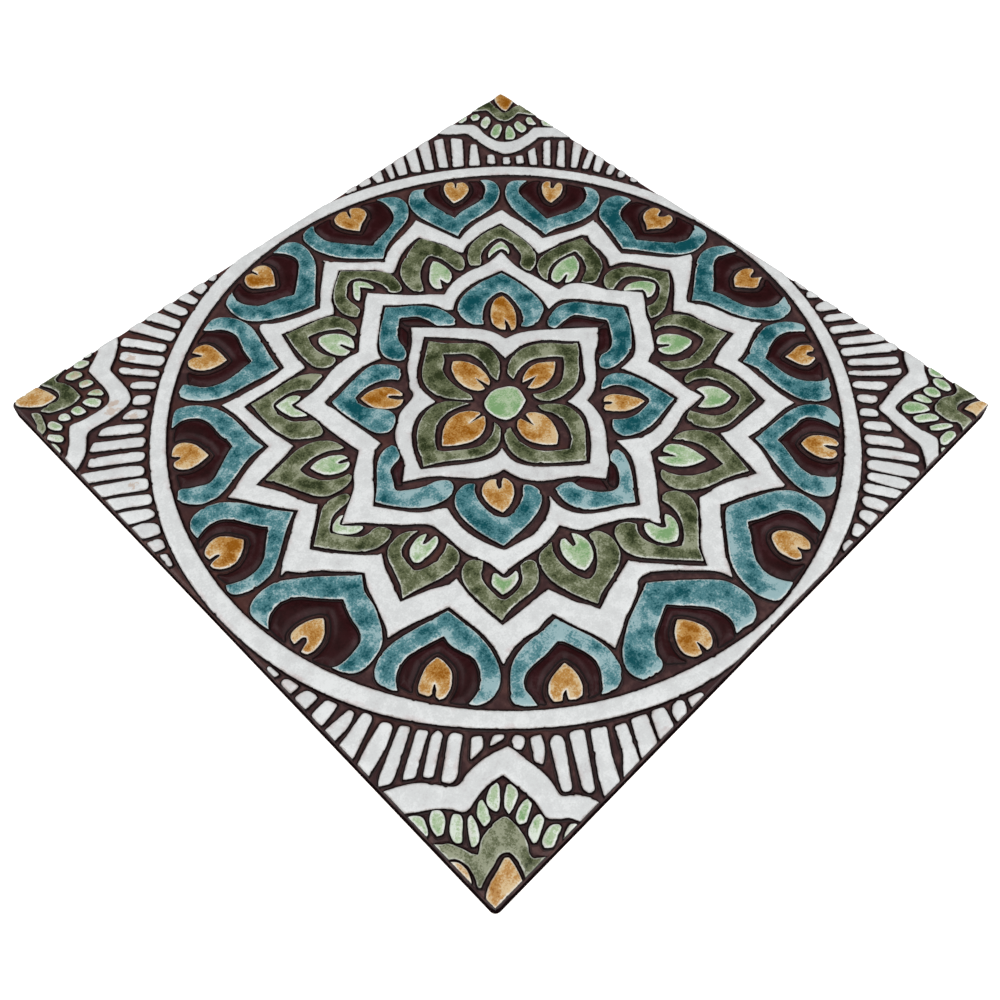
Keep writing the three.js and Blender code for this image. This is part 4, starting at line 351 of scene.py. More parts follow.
# mint drops in the green petals, the centre and the beads of the corners
MINT_DROPS = (
    "N2 1400,848 1375,875 1352,890 1345,865 1358,830 1385,795 1412,760 N1 108,738 140,762 162,800 "
    "170,845 168,865 158,876 145,860 130,835 106,800",
    "Q0 605,308 565,328 505,380 462,430 445,480 452,512 480,532 500,500 527,458 530,500 535,522 "
    "560,522 600,495 622,450 628,390 622,340",
    "Q0 1055,492 1000,488 950,500 910,520 885,548 930,540 980,540 1010,550 1015,580 1005,615 "
    "1030,600 1050,560 1058,520",
    "Q0 1305,935 1260,915 1190,910 1120,925 1065,955 1040,990 1045,1025 1080,1030 1140,1015 "
    "1150,1022 1110,1045 1080,1062 1110,1080 1170,1075 1230,1045 1280,1000",
    "E1 440,1405 420,1360 380,1322 330,1298 280,1295 250,1310 290,1345 318,1365 345,1392 E2 "
    "342,85 330,105 313,130 350,138 400,122 430,98",
    "Q3 1285,570 1278,520 1245,455 1205,415 1165,400 1130,412 1108,435 1135,465 1162,490 1150,500 "
    "1115,478 1085,462 1075,490 1090,535 1135,572 1200,586 1255,585",
    "Q3 1108,1030 1050,1037 995,1022 950,990 920,960 905,935 950,930 995,920 1003,880 1000,843 "
    "1040,855 1080,885 1105,930 1113,980",
    "Q3 643,1220 590,1208 530,1180 480,1135 447,1080 437,1030 452,1010 490,1045 532,1088 520,1050 "
    "500,1005 545,990 585,1012 618,1060 636,1120",
    "S1 88,412 130,392 168,355 190,312 190,270 178,248 155,265 118,312 95,295 82,250 70,222 "
    "45,210 20,235 5,280 8,335 35,380",
    "Q2 985,1230 970,1190 965,1130 975,1075 1005,1025 1040,1000 1060,1010 1055,1045 1052,1080 "
    "1075,1082 1090,1050 1110,1010 1130,1045 1138,1100 1120,1160 1085,1202 1035,1225",
    "Q2 560,1020 560,970 565,930 590,905 620,890 632,905 635,940 650,962 690,965 718,962 715,985 "
    "690,1010 650,1025 600,1028",
    "Q2 530,440 490,428 440,435 395,455 365,490 355,530 375,550 430,555 490,548 540,530 562,500 "
    "555,487 520,490 475,487 470,475 500,462 530,450",
    "W1 830,1385 850,1362 885,1346 925,1340 942,1352 905,1365 882,1385 W2 895,75 930,112 965,145 "
    "968,160 940,168 900,155 865,125 840,95 828,65",
    "Q1 355,1035 400,1025 460,1035 510,1060 550,1100 558,1135 520,1120 490,1118 500,1135 545,1155 "
    "540,1175 500,1190 440,1175 390,1135 365,1085",
    "Q1 500,530 560,528 610,535 640,555 655,585 620,595 575,590 570,620 580,660 590,700 590,725 "
    "555,700 520,665 502,610 498,565",
    "Q1 1035,295 1070,300 1120,330 1155,370 1175,420 1170,470 1140,515 1130,510 1115,470 1100,430 "
    "1085,435 1095,480 1105,520 1060,525 1025,490 1003,430 1000,370 1010,320",
    "MM 11.7,-0.3 10.4,3 7.5,5.1 3.3,6.8 -1.7,5.9 -5,3.8 -6.3,-1.2 -4.6,-7.8 -0.8,-9.7 4.2,-9.1 "
    "9.6,-7",
    "SW 30,575 55,590 78,620 70,660 45,700 30,705",
    "SW 68,735 75,690 100,650 130,632 155,655 158,680 135,715 95,745",
    "SW 105,800 125,755 160,725 190,710 208,735 200,760 160,800 130,830 115,825",
    "SW 145,875 165,840 195,800 225,770 243,770 235,810 215,850 185,880 155,885",
    "SW 248,850 255,800 280,770 310,752 328,755 315,800 290,845 265,852",
    "SW 332,840 325,795 345,765 390,742 430,745 425,765 395,800 350,840",
    "SW 365,888 375,850 410,815 455,785 470,795 470,830 455,855 400,880",
    "SW 365,955 368,930 400,905 445,893 475,895 475,925 440,945 395,968",
    "SW 348,1055 365,1010 400,988 450,978 468,985 460,1015 415,1040 365,1062",
    "SW 370,1105 380,1080 420,1060 465,1055 493,1075 490,1095 450,1110 400,1130",
    "SW 455,1140 490,1120 530,1112 550,1130 545,1142 470,1142",
    "NE 705,55 740,48 790,45 770,70 720,75",
    "NE 790,110 800,75 830,68 860,85 855,115 820,130",
    "NE 790,200 795,180 840,150 885,142 895,160 870,200 820,225 790,230",
    "NE 770,350 775,300 820,265 870,250 895,265 880,300 830,335 785,355",
    "NE 810,405 850,365 890,330 925,315 928,345 905,400 870,435 845,438",
    "NE 935,430 940,370 965,335 1005,325 1005,365 995,420 965,438",
    "NE 1030,400 1050,360 1080,345 1095,365 1080,410 1070,440 1050,430",
    "NE 1095,480 1110,450 1135,430 1135,540 1110,510",
    "SE 755,835 770,808 800,800 840,815 870,860 880,900 870,930 845,920 800,890 765,860",
    "SE 872,815 895,803 925,825 935,870 930,905 905,895 880,850",
    "SE 950,850 960,822 990,822 1020,850 1020,890 1000,912 980,910 955,880",
    "SE 1045,840 1065,815 1090,825 1105,860 1100,900 1080,930 1055,925 1040,890",
    "SE 1085,785 1110,755 1135,755 1135,850 1115,845 1090,810",
    "SE 745,910 760,888 800,905 840,935 860,965 860,995 840,998 790,965 750,935",
    "SE 752,1010 770,990 810,1010 850,1040 870,1070 860,1085 830,1070 780,1040",
    "SE 710,1105 735,1080 780,1075 820,1085 835,1110 820,1130 770,1130 725,1125",
    "NW 425,60 440,40 480,40 500,60 515,85 500,100 470,100 440,85",
    "NW 345,100 365,80 400,80 425,100 435,130 425,150 400,145 365,135",
    "NW 368,205 385,180 415,185 440,205 445,235 430,242 395,232 375,225",
    "NW 368,285 390,278 420,285 443,310 440,345 425,350 400,325 380,300",
    "NW 315,315 340,308 370,320 400,360 400,385 375,400 355,400 330,365",
    "NW 235,322 265,312 290,325 298,360 298,388 270,385 245,370 235,345",
    "NW 158,315 180,300 205,310 215,340 210,365 195,368 170,350 158,335",
    "NW 85,320 105,302 125,310 145,360 145,385 125,398 105,380 88,350",
    "NW 35,395 60,375 80,395 105,430 105,460 90,472 70,460 50,430",
    "NW 28,435 45,450 52,490 45,520 30,530",
    "MM 113.2,-149.8 113.7,-148.8 114.8,-148 116,-148.6 116.3,-149.8",
    "MM -113.2,149.8 -112.4,148.5 -110.8,147.7 -109.2,148.3 -108.4,149.8",
)

# the eight petals of the third ring
TEAL_INNER = (
    "Q1 1460,572 1405,625 1372,680 1362,735 1330,790 1295,806 1262,785 1235,740 1228,690 1245,640 "
    "1290,580 1350,520 1430,455 Q0 106,395 160,450 240,510 300,580 345,660 357,740 350,790 "
    "320,818 290,800 260,770 235,745 230,700 215,640 190,590 150,560 106,530",
    "Q0 850,706 780,690 700,672 620,668 540,675 470,700 420,740 400,790 393,850 405,900 440,935 "
    "455,945 480,910 520,870 580,830 650,812 720,820 740,850 740,900 725,970 700,1040 660,1090 "
    "610,1125 640,1160 700,1175 760,1155 820,1120 850,1060 865,980 868,880 860,780",
    "Q0 1190,1478 1130,1400 1080,1330 1040,1270 1000,1220 950,1190 890,1178 820,1190 760,1215 "
    "735,1250 745,1282 760,1292 830,1288 900,1293 935,1315 965,1360 1000,1420 1035,1475 Q3 "
    "1020,105 985,150 940,205 890,245 840,255 790,250 745,275 720,310 730,342 770,365 840,372 "
    "900,362 960,345 1020,298 1080,240 1140,168",
    "Q3 850,796 770,808 690,822 610,830 540,824 470,800 425,765 413,715 430,672 468,638 500,668 "
    "545,698 605,714 670,712 720,705 742,690 742,630 733,565 708,505 665,462 615,445 592,432 "
    "640,398 692,387 742,405 782,448 810,510 826,580 836,660 845,735",
    "Q3 118,1130 160,1082 215,1025 265,965 303,905 325,850 325,812 305,796 268,803 238,832 "
    "232,880 200,930 160,970 118,990 Q2 1470,975 1425,935 1390,880 1370,825 1365,778 1322,748 "
    "1265,740 1248,780 1240,850 1256,915 1300,982 1370,1030 1440,1072",
    "Q2 783,803 765,735 750,650 744,560 752,485 775,422 820,373 880,354 930,362 958,392 925,425 "
    "898,475 885,535 883,600 898,650 935,686 990,684 1050,668 1095,645 1125,615 1150,592 1178,620 "
    "1190,665 1178,712 1140,750 1080,780 1000,797 920,803 850,805",
    "Q1 468,1478 520,1432 580,1368 640,1300 700,1256 760,1241 802,1247 812,1272 798,1312 770,1348 "
    "720,1358 680,1372 655,1410 630,1455 608,1490 Q2 608,112 650,145 700,180 760,205 815,222 "
    "855,252 870,282 858,318 825,343 785,352 730,345 670,322 612,280 552,212 502,142",
    "Q1 760,748 840,735 920,718 1000,705 1080,697 1130,705 1180,745 1220,800 1232,840 1205,880 "
    "1160,905 1145,880 1110,850 1060,825 1000,810 930,812 880,825 872,870 885,930 920,980 "
    "950,1020 965,1060 960,1100 920,1140 860,1160 810,1130 785,1080 770,980 755,880 752,800",
)

# amber drops of the third ring, the centre and the corners
AMBER_INNER = (
    "Q0 712,856 660,846 612,862 560,900 515,950 493,1000 497,1045 518,1078 545,1050 578,1008 "
    "565,1060 540,1108 570,1112 620,1072 665,1020 695,960 708,905",
    "Q3 708,682 640,677 580,655 525,608 490,562 495,540 520,530 545,550 565,552 555,530 530,510 "
    "560,490 600,500 645,545 685,610 705,650",
    "Q2 935,645 920,590 920,530 935,480 965,445 1010,428 1045,435 1068,455 1045,480 1030,515 "
    "1050,518 1080,490 1105,475 1115,510 1108,550 1075,595 1030,625 980,642",
    "Q1 900,850 960,845 1020,860 1070,890 1100,940 1110,1000 1095,1015 1060,975 1035,955 1025,965 "
    "1050,1010 1085,1040 1040,1058 1000,1050 950,1010 915,960 900,900",
    "MM 2.2,31.3 -1.5,28 -4,21 -3.5,15 -1,11 1.5,10 2,12 2.7,17.5 3.7,12 4,10 6.3,12 8,18 7.5,24 "
    "4.5,29.5",
    "MM 34.3,-1 30.8,2.2 27.5,4.2 23.3,4.7 18.3,3 15.4,0.9 22.5,-0.7 15,-2.7 16.7,-4.9 20.8,-6.6 "
    "25.8,-6.3 30,-4.5",
    "MM 2.1,-32.8 -1.7,-29.5 -4.6,-24.5 -5.2,-20.3 -3.8,-15.3 -0.8,-12.4 1,-12.4 2.3,-19.1 "
    "3.8,-12.4 5.8,-12.7 8.8,-16.2 9.6,-20.3 8.3,-25.3 5.8,-29.9",
    "MM -32.9,0.7 -30,3.8 -25.8,7.2 -20.8,9 -15.8,8.4 -11.7,5.9 -9.2,2.6 -9.6,1.5 -16.7,1.2 "
    "-9.6,0.1 -9.2,-0.8 -12.5,-4.5 -16.7,-6.6 -20.8,-6.8 -25.8,-4.9 -30,-2",
    "SW 30,1090 45,1070 90,1045 150,1030 190,1018 215,1010 230,1025 225,1060 210,1110 195,1142 "
    "118,1142 105,1130 95,1142 30,1142",
    "SW 32,855 55,880 62,920 50,965 35,990 30,990",
    "NE 1020,200 1015,160 1030,100 1050,60 1075,40 1125,38 1132,80 1132,160 1080,180",
    "SE 1010,1060 1050,1060 1090,1070 1125,1095 1135,1120 1132,1142 1060,1142 1010,1140 1020,1110",
    "NW 45,55 70,30 102,32 115,45 125,30 180,28 200,50 215,90 230,140 235,180 200,185 150,180 "
    "110,155 70,115 45,80",
)

# small dark hearts of the third ring
OXBLOOD_INNER = (
    "Q0 106,552 150,585 192,618 210,665 218,725 190,690 150,645 106,600",
    "Q1 1460,650 1425,690 1385,735 1378,700 1395,655 1430,615 1465,585",
    "Q0 790,1305 850,1300 895,1308 925,1335 955,1385 985,1440 1015,1478 955,1470 900,1410 "
    "840,1350",
    "Q3 985,125 940,180 890,225 845,245 800,232 798,212 850,180 905,130 955,95",
    "Q2 1380,790 1425,795 1470,835 1500,880 1475,955 1430,915 1395,865 1378,820",
    "Q3 120,925 165,890 205,850 222,850 215,885 165,945 118,970",
    "Q1 770,1362 715,1372 685,1395 665,1432 640,1478 660,1490 690,1450 735,1412 775,1385",
)

# white spokes outside the ring
SPOKES = (
    "SW 25,0 185,0 190,35 120,65 28,75",
    "SW 28,105 120,85 220,58 240,95 230,115 150,150 28,205",
    "SW 28,235 150,185 250,155 278,190 270,215 180,265 28,315",
    "SW 28,380 60,352 180,290 300,228 332,270 250,320 130,390 85,410",
    "SW 130,435 180,400 345,300 378,345 300,390 180,468",
    "SW 205,490 370,370 412,370 415,405 330,460 240,525",
    "SW 250,565 430,425 450,428 480,470 400,530 320,600 280,605",
    "SW 415,585 500,505 540,540 500,585",
    "SW 525,600 575,570 618,605 600,620",
    "SW 600,690 610,655 650,640 675,675 660,700 620,718",
    "SW 620,800 690,700 740,725 700,790 640,838",
    "SW 610,980 740,780 780,768 800,800 790,830 650,1010 620,1000",
    "SW 685,1040 830,820 850,815 900,850 800,980 720,1085 690,1080",
    "SW 725,1140 780,1050 920,870 985,915 900,1020 830,1140",
    "SW 850,1140 940,1060 1010,940 1065,965 1000,1080 965,1140",
    "SW 980,1140 1090,970 1165,1005 1090,1140",
    "S2 465,1112 540,985 560,978 618,1010 575,1112",
    "S2 600,1112 620,1060 650,1035 690,1030 716,1055 695,1095 665,1115",
    "S2 712,1115 735,1062 780,1075 818,1090 810,1118",
    "W2 38,460 60,455 68,540 35,530",
    "W2 38,580 60,568 85,590 100,660 38,665",
    "W2 38,692 95,695 120,720 130,775 38,785",
    "W2 38,825 150,815 175,880 100,900 38,910",
    "NE 50,40 105,40 35,165 0,160",
    "NE 125,38 215,38 115,195 60,170",
    "NE 235,40 325,38 190,245 145,200",
    "NE 350,38 440,38 265,290 222,250",
    "NE 460,75 520,100 345,340 303,295",
    "NE 560,135 605,200 430,400 370,355",
    "NE 610,275 640,305 510,470 455,420",
    "NE 620,425 650,460 590,535 555,490",
    "NE 670,520 705,550 660,605 625,570",
    "NE 740,570 780,600 730,660 690,630",
    "NE 830,595 895,600 780,735 745,700",
    "NE 975,600 1022,620 835,800 810,760",
    "NE 1050,670 1085,690 890,880 860,830",
    "NE 1120,740 1135,810 940,940 918,905",
    "NE 1135,870 1135,920 985,1000 960,965",
    "NE 1100,960 1135,940 1135,1010 1010,1075 1000,1030",
    "NE 1090,1080 1135,1070 1135,1110 1050,1145 1030,1110",
    "N1 615,60 640,38 725,38 700,85",
    "N1 735,85 745,45 845,40 815,105",
    "N1 860,50 955,38 895,150 845,130",
    "E1 1035,550 1065,525 1112,515 1112,560 1070,580 1045,570",
    "E1 1065,640 1090,620 1112,615 1112,685 1085,680",
    "NW 1062,32 1122,32 1135,80 1158,150 1150,178 1128,184 1100,170 1080,120 1060,60",
    "NW 935,35 1010,32 1035,90 1060,160 1075,205 1060,225 1035,245 1015,225 990,160 960,100 "
    "935,60",
    "NW 815,38 895,35 915,80 940,150 975,210 1000,255 990,275 950,292 940,295 915,240 880,170 "
    "845,100 818,55",
    "NW 710,115 730,85 765,75 785,110 830,170 870,235 905,290 900,310 870,330 855,325 820,270 "
    "770,190 730,140",
    "NW 645,200 660,170 685,160 710,175 740,225 790,290 840,350 845,365 830,390 800,405 780,400 "
    "730,330 680,260",
    "NW 590,270 605,250 625,255 650,290 700,350 750,410 760,430 745,455 730,458 700,430 640,350 "
    "595,300",
    "NW 572,405 600,390 625,405 660,440 695,480 695,500 670,522 655,515 600,455 575,430",
    "NW 508,525 530,500 560,485 590,510 618,540 615,560 580,585 560,575 520,545",
    "NW 408,570 440,555 490,555 520,585 545,610 540,635 515,655 490,648 450,610 415,580",
    "NW 245,575 285,553 320,560 380,600 440,650 475,685 470,705 440,722 420,718 350,665 280,610",
    "NW 152,632 205,597 225,615 300,670 380,725 425,765 420,785 400,810 380,810 300,750 220,690 "
    "160,645",
    "NW 88,712 130,675 165,700 250,755 330,810 365,845 360,865 340,885 320,885 240,830 150,765 "
    "90,725",
    "NW 28,730 60,740 150,800 230,850 300,910 305,935 285,965 265,970 200,920 100,850 28,805",
    "NW 30,840 80,870 160,920 240,970 275,1005 270,1025 240,1065 225,1060 150,1010 80,965 30,935",
    "NW 30,965 60,975 130,1025 210,1085 228,1100 215,1140 195,1155 150,1130 80,1080 28,1055",
    "W1 30,435 80,460 180,530 195,575 180,603 130,590 30,540",
    "W1 30,570 100,590 150,640 155,670 135,720 90,705 35,675",
    "W1 40,715 100,735 115,760 100,815 35,800",
    "W1 45,830 75,845 80,860 60,940 35,930",
    "N2 530,40 605,38 622,150 590,165 570,155 530,60",
    "N2 650,38 735,38 735,95 720,105 660,125 645,60",
    "N2 770,38 845,38 830,70 790,85 775,60",
    "SE 1035,15 1055,2 1090,5 1140,25 1150,60 1145,110 1125,110 1090,85 1050,60 1030,35",
    "SE 1000,95 1020,85 1060,105 1110,145 1140,165 1145,225 1120,215 1060,170 1000,130 995,110",
    "SE 950,180 980,165 1010,185 1080,240 1135,275 1140,340 1110,325 1040,275 970,225 945,210",
    "SE 905,280 925,258 960,265 1020,310 1090,360 1145,400 1140,445 1120,455 1060,415 980,350 "
    "920,300",
    "SE 850,355 865,320 890,312 930,340 1000,400 1080,450 1135,490 1135,530 1110,548 1060,520 "
    "980,450 900,395",
    "SE 815,405 840,390 870,400 920,450 980,500 1040,550 1068,575 1055,595 1035,608 1010,600 "
    "940,540 870,470 825,430",
    "SE 755,455 775,438 800,455 860,520 930,580 990,620 1010,635 1000,655 970,665 950,655 880,590 "
    "800,510",
    "SE 700,520 725,505 750,515 790,560 850,620 860,640 845,665 820,665 790,650 750,600 705,545",
    "SE 640,600 660,580 685,585 720,625 742,655 735,675 700,685 680,675 645,625",
    "SE 560,675 580,655 605,648 635,680 655,710 650,735 630,752 615,745 580,700",
    "SE 500,745 520,722 550,722 590,765 625,805 620,840 600,862 585,860 540,800",
    "SE 430,805 445,780 475,775 510,820 560,885 582,925 575,955 550,975 535,970 490,900 435,830",
    "SE 365,865 380,840 405,835 440,875 500,960 555,1050 550,1070 530,1085 515,1085 450,990 "
    "370,880",
    "SE 290,915 315,890 345,888 380,930 440,1020 480,1095 475,1120 450,1140 425,1140 370,1060 "
    "295,930",
    "SE 230,955 255,935 280,940 320,1000 370,1080 378,1120 370,1142 325,1142 300,1110 240,985",
    "SE 155,985 180,962 210,965 240,1020 280,1090 295,1130 290,1142 240,1142 220,1110 165,1020",
    "SE 80,1030 100,1010 130,1008 160,1050 178,1105 175,1135 150,1142 120,1142 105,1110 80,1050",
    "SE 0,1065 20,1050 50,1048 75,1090 80,1125 70,1140 20,1142 0,1142",
    "S1 690,1110 715,1078 780,1080 780,1115 740,1115",
    "S1 810,1075 885,1040 905,1060 905,1105 870,1115 825,1115",
    "E2 1080,780 1095,720 1112,700 1112,800 1100,820",
    "E2 1040,860 1075,830 1112,835 1112,905 1095,910",
)

# the white band across each corner
CORNER_BANDS = (
    "SW 25,410 80,435 125,460 180,500 215,545 245,585 275,620 300,632 370,620 450,622 520,636 "
    "560,650 588,658 596,700 602,760 612,850 608,920 592,985 605,1010 640,1033 670,1075 688,1110 "
    "690,1142 572,1142 565,1130 545,1090 510,1060 475,1020 480,980 490,920 485,850 480,790 "
    "475,740 430,730 370,725 300,735 250,745 225,735 190,680 150,640 80,590 25,550",
    "NE 530,38 560,80 610,130 665,175 668,250 668,300 672,400 690,470 700,500 740,530 800,548 "
    "870,553 930,553 985,548 1030,590 1080,640 1135,695 1135,560 1110,530 1070,490 1030,452 "
    "990,460 930,465 860,460 800,430 760,380 750,330 750,260 765,200 765,150 740,120 690,75 "
    "650,38",
    "SE 1135,575 1100,600 1060,640 1030,675 1010,690 960,688 900,690 850,690 800,700 740,710 "
    "690,712 672,730 665,780 650,840 640,900 630,960 625,1020 600,1060 560,1100 530,1130 505,1142 "
    "620,1142 650,1125 690,1100 725,1070 728,1040 720,980 715,920 728,850 735,800 750,780 800,775 "
    "850,778 900,785 960,800 1010,815 1040,805 1060,780 1090,745 1135,710",
    "NW 735,38 720,75 690,110 650,150 610,185 580,205 565,225 560,300 555,380 545,440 520,490 "
    "480,510 420,520 350,522 290,515 235,512 205,530 170,580 130,630 80,665 25,692 25,580 45,575 "
    "80,540 120,490 150,440 175,410 200,410 240,422 300,428 370,430 420,420 450,385 465,330 "
    "468,260 470,200 470,145 500,120 540,95 590,60 610,38",
)

# the white star inside the outer petals
STAR16_OUTER = (
    "N1 88,442 130,500 180,560 260,640 330,700 372,748 400,720 440,695 520,665 640,640 740,615 "
    "785,598 800,660 820,740 845,850 868,945 920,928 1000,915 1080,912 1180,925 1255,935 E1 "
    "225,215 225,300 235,400 235,500 225,600 260,620 330,650 420,690 500,715 600,725 580,800 "
    "550,900 515,1000 492,1075 540,1130 600,1210 660,1290 720,1350 815,1405 E2 800,100 720,160 "
    "640,215 560,265 490,310 467,340 500,400 530,450 555,530 575,620 610,700 660,790 590,795 "
    "500,825 400,860 310,882 310,960 300,1050 290,1150 285,1240 290,1325 S1 1340,278 1250,262 "
    "1150,262 1050,258 940,240 925,330 890,420 850,500 830,560 820,605 800,605 750,570 690,535 "
    "600,490 520,460 450,430 400,470 330,540 260,610 210,660 170,720 125,780 S2 1440,720 1400,660 "
    "1330,590 1250,510 1160,440 1085,425 1030,465 940,505 860,530 780,570 685,612 680,560 665,480 "
    "640,400 620,330 600,240 540,240 480,250 400,235 320,235 250,250 205,265 W2 932,1310 960,1230 "
    "975,1150 978,1080 970,980 962,868 900,850 840,830 760,805 700,790 605,775 640,720 670,640 "
    "700,560 730,470 778,390 740,340 680,280 620,210 540,150 480,75 W1 440,1410 500,1350 580,1290 "
    "660,1230 720,1180 778,1145 740,1090 680,1000 630,920 590,850 548,790 600,775 640,758 720,725 "
    "800,700 860,685 940,672 940,600 940,500 945,400 940,300 930,225 N2 205,955 290,970 400,985 "
    "520,1000 655,990 665,950 680,880 700,800 720,720 740,640 765,605 790,610 830,650 900,690 "
    "1000,730 1080,750 1130,765 1170,720 1230,650 1300,580 1360,520 1420,465"
)

# its inner edge
STAR16_INNER = (
    "N1 105,588 160,640 220,700 280,760 330,850 350,858 400,830 480,780 560,750 650,732 690,735 "
    "710,790 740,850 765,920 775,1000 800,1050 860,1020 940,1010 1040,1005 1110,1015 1165,1025 E1 "
    "125,300 130,400 130,500 120,590 100,685 200,705 290,720 370,745 430,765 460,800 430,850 "
    "415,950 395,1030 350,1100 430,1130 480,1180 530,1270 570,1340 605,1400 E2 560,140 500,200 "
    "440,250 390,290 345,325 370,360 400,420 410,500 430,600 460,690 468,720 400,730 330,740 "
    "260,760 190,785 200,830 215,900 212,1000 200,1080 180,1190 S1 1200,148 1100,145 1000,142 "
    "900,135 845,108 820,200 800,300 770,445 700,410 620,370 520,335 440,325 405,315 330,380 "
    "270,440 200,490 150,540 85,635 S2 1370,590 1300,510 1230,430 1170,360 1135,305 1080,320 "
    "1000,340 920,360 850,385 800,402 775,340 740,280 715,200 690,120 640,115 560,112 460,108 "
    "370,100 W2 1088,1150 1085,1050 1085,950 1095,850 1112,770 1080,770 1040,760 960,720 880,690 "
    "795,662 820,600 850,520 880,440 925,362 900,350 830,280 770,210 720,150 660,60 W1 700,1350 "
    "760,1300 820,1250 885,1190 860,1160 830,1090 800,1000 760,920 715,835 780,825 860,810 "
    "950,795 1045,770 1035,700 1020,600 1018,480 1018,330 N2 290,1058 380,1060 500,1070 620,1075 "
    "745,1080 755,1050 760,980 780,900 800,820 815,760 880,780 980,800 1060,825 1130,850 1160,862 "
    "1190,830 1230,760 1290,700 1370,640"
)

# the white star inside the green petals
STAR8_OUTER = (
    "Q0 106,218 215,345 300,440 380,510 452,582 520,555 600,540 680,542 740,552 800,570 880,577 "
    "940,572 988,562 975,640 962,720 965,790 980,860 992,950 1010,1078 1075,1082 1125,1110 "
    "1165,1155 1195,1215 1225,1285 1280,1360 1335,1425 1375,1478 Q3 1330,135 1280,185 1235,235 "
    "1195,300 1150,350 1105,405 1060,452 1010,465 957,490 968,560 973,640 972,720 968,800 978,860 "
    "985,903 900,905 820,905 770,915 700,938 620,953 530,960 448,955 405,1010 350,1075 295,1135 "
    "240,1190 185,1250 145,1290 115,1325 Q2 1497,1300 1470,1232 1405,1168 1325,1120 1245,1083 "
    "1175,1050 1135,995 1100,928 1040,945 960,955 880,950 820,940 740,932 655,932 650,880 648,830 "
    "628,770 605,705 597,640 600,560 597,480 588,418 530,352 470,300 425,245 385,205 340,150 "
    "285,98 235,60 Q1 300,1415 380,1365 450,1315 505,1250 570,1195 640,1138 628,1050 618,950 "
    "612,850 612,760 600,690 588,612 660,608 740,606 820,590 900,563 980,548 1060,548 1135,562 "
    "1190,505 1260,435 1330,375 1400,312 1450,262"
)

# its inner edge
STAR8_INNER = (
    "Q0 106,370 190,450 262,510 318,565 350,625 368,690 400,718 450,680 520,652 600,640 680,645 "
    "770,665 868,690 880,780 887,880 882,980 865,1070 840,1150 900,1143 950,1150 995,1178 "
    "1045,1230 1095,1305 1150,1380 1212,1470 Q3 1213,95 1155,165 1100,240 1045,305 990,358 "
    "930,395 860,405 800,408 825,480 845,560 857,640 865,720 870,808 800,828 720,845 640,862 "
    "570,866 505,852 445,818 400,785 368,762 362,830 342,900 300,965 240,1032 190,1085 150,1132 "
    "125,1160 Q2 1500,1148 1440,1102 1370,1062 1295,1012 1240,960 1205,895 1193,830 1205,750 "
    "1160,800 1100,835 1020,860 950,870 870,852 795,835 768,825 740,765 718,700 704,630 700,560 "
    "708,490 730,400 690,368 635,340 580,292 530,225 482,155 440,95 Q1 500,1432 555,1365 610,1298 "
    "662,1240 715,1205 765,1188 757,1080 747,980 740,880 735,800 722,745 730,716 800,705 900,688 "
    "1000,672 1080,670 1150,682 1203,698 1215,655 1250,605 1300,555 1360,500 1430,435"
)

# the white star round the centre
STAR4_OUTER = (
    "MM 2.6,59.2 8.8,53 13.3,48 19.2,42.2 24.2,36.3 27.1,30.5 28.3,24.3 34.2,22.6 39.2,19.7 "
    "44.2,15.9 48.3,12.2 56,5.5 62.6,-0.6 56,-6.6 50,-10.3 44.2,-16.2 38.3,-21.6 33.3,-24.5 "
    "28.3,-25.8 27.5,-31.2 25,-37.8 20,-44.5 15,-49.5 11.3,-54 3.6,-59.3 -0.7,-53.6 -4,-50 "
    "-7.9,-47 -12.5,-44 -17.1,-40.3 -21.3,-33.7 -22.9,-26.2 -27.5,-25.3 -33.3,-22 -37.5,-17.8 "
    "-41.7,-12.8 -45.8,-8.3 -50,-5.3 -57,-1.2 -50,5.5 -46.7,13 -43.3,18.8 -39.2,22.2 -33.3,26.3 "
    "-23.3,29.3 -21.3,33.8 -17.5,38.4 -15,42.2 -10,46.8 -3.3,52.2"
)

# its inner edge
STAR4_INNER = (
    "MM 3,51 8.3,45.1 13.3,39.3 18.3,33 20.8,28 20.8,23 20,16.3 24.2,16.3 30,16.3 35.8,14.3 "
    "41.7,9.7 46.7,3.8 50.7,-0.3 45.8,-6.6 40,-12.8 35.8,-17.8 30,-19.5 25,-20.3 21.8,-20.3 "
    "22.5,-24.5 21.8,-30.3 18.3,-36.2 12.5,-42.8 4.6,-49.3 0,-46.2 -6.7,-40.3 -12.5,-34.5 "
    "-16.3,-28.7 -17.1,-23.7 -15.7,-17.8 -20,-18.7 -25,-17.4 -30.8,-14.1 -37.5,-9.1 -47.5,-1.8 "
    "-45,3.8 -41.7,9.7 -37.5,14.7 -32.5,18.4 -26.7,20.5 -18.8,20.1 -18.8,23.8 -18.5,28.8 "
    "-16.7,33.8 -12.5,38.8 -5,44.7 0,48.8"
)

Loop = np.ndarray
Gap = Callable[[Sequence[float]], float]

# how fine the close points along a loop are while it is worked on, in millimetres
PITCH = 0.2
EDGE_PITCH = 0.25

# lengths that count as none: of a direction, between points that are merged, and of a span
SAME = 1e-9
MERGED = 1e-5
SHORT = 1e-4

# how far beyond the pads' limit a pooled foot may reach
FOOT_REACH = 0.3

# unevenness over the tile: how many waves a millimetre holds, and which layer of the noise it is
SHAKE = (0.45, 3.1)
FINE_SHAKE = (1.3, 7.7)
NICKS = (0.5, 21.3)
CROWNS = (0.11, 1.7)
SLAB = (0.3, 5.5)

# each step of a pad's wall and of the glaze pooled at its foot: the share of the foot's
# width, the share of the fall, and the edge value, whose lowest values also place the painted contact
# shade at the foot
SKIRT = ((0.45, 0.55, -0.2), (1.0, 0.9, -0.45), (2.1, 1.01, -0.9), (3.2, 1.06, -1.4))


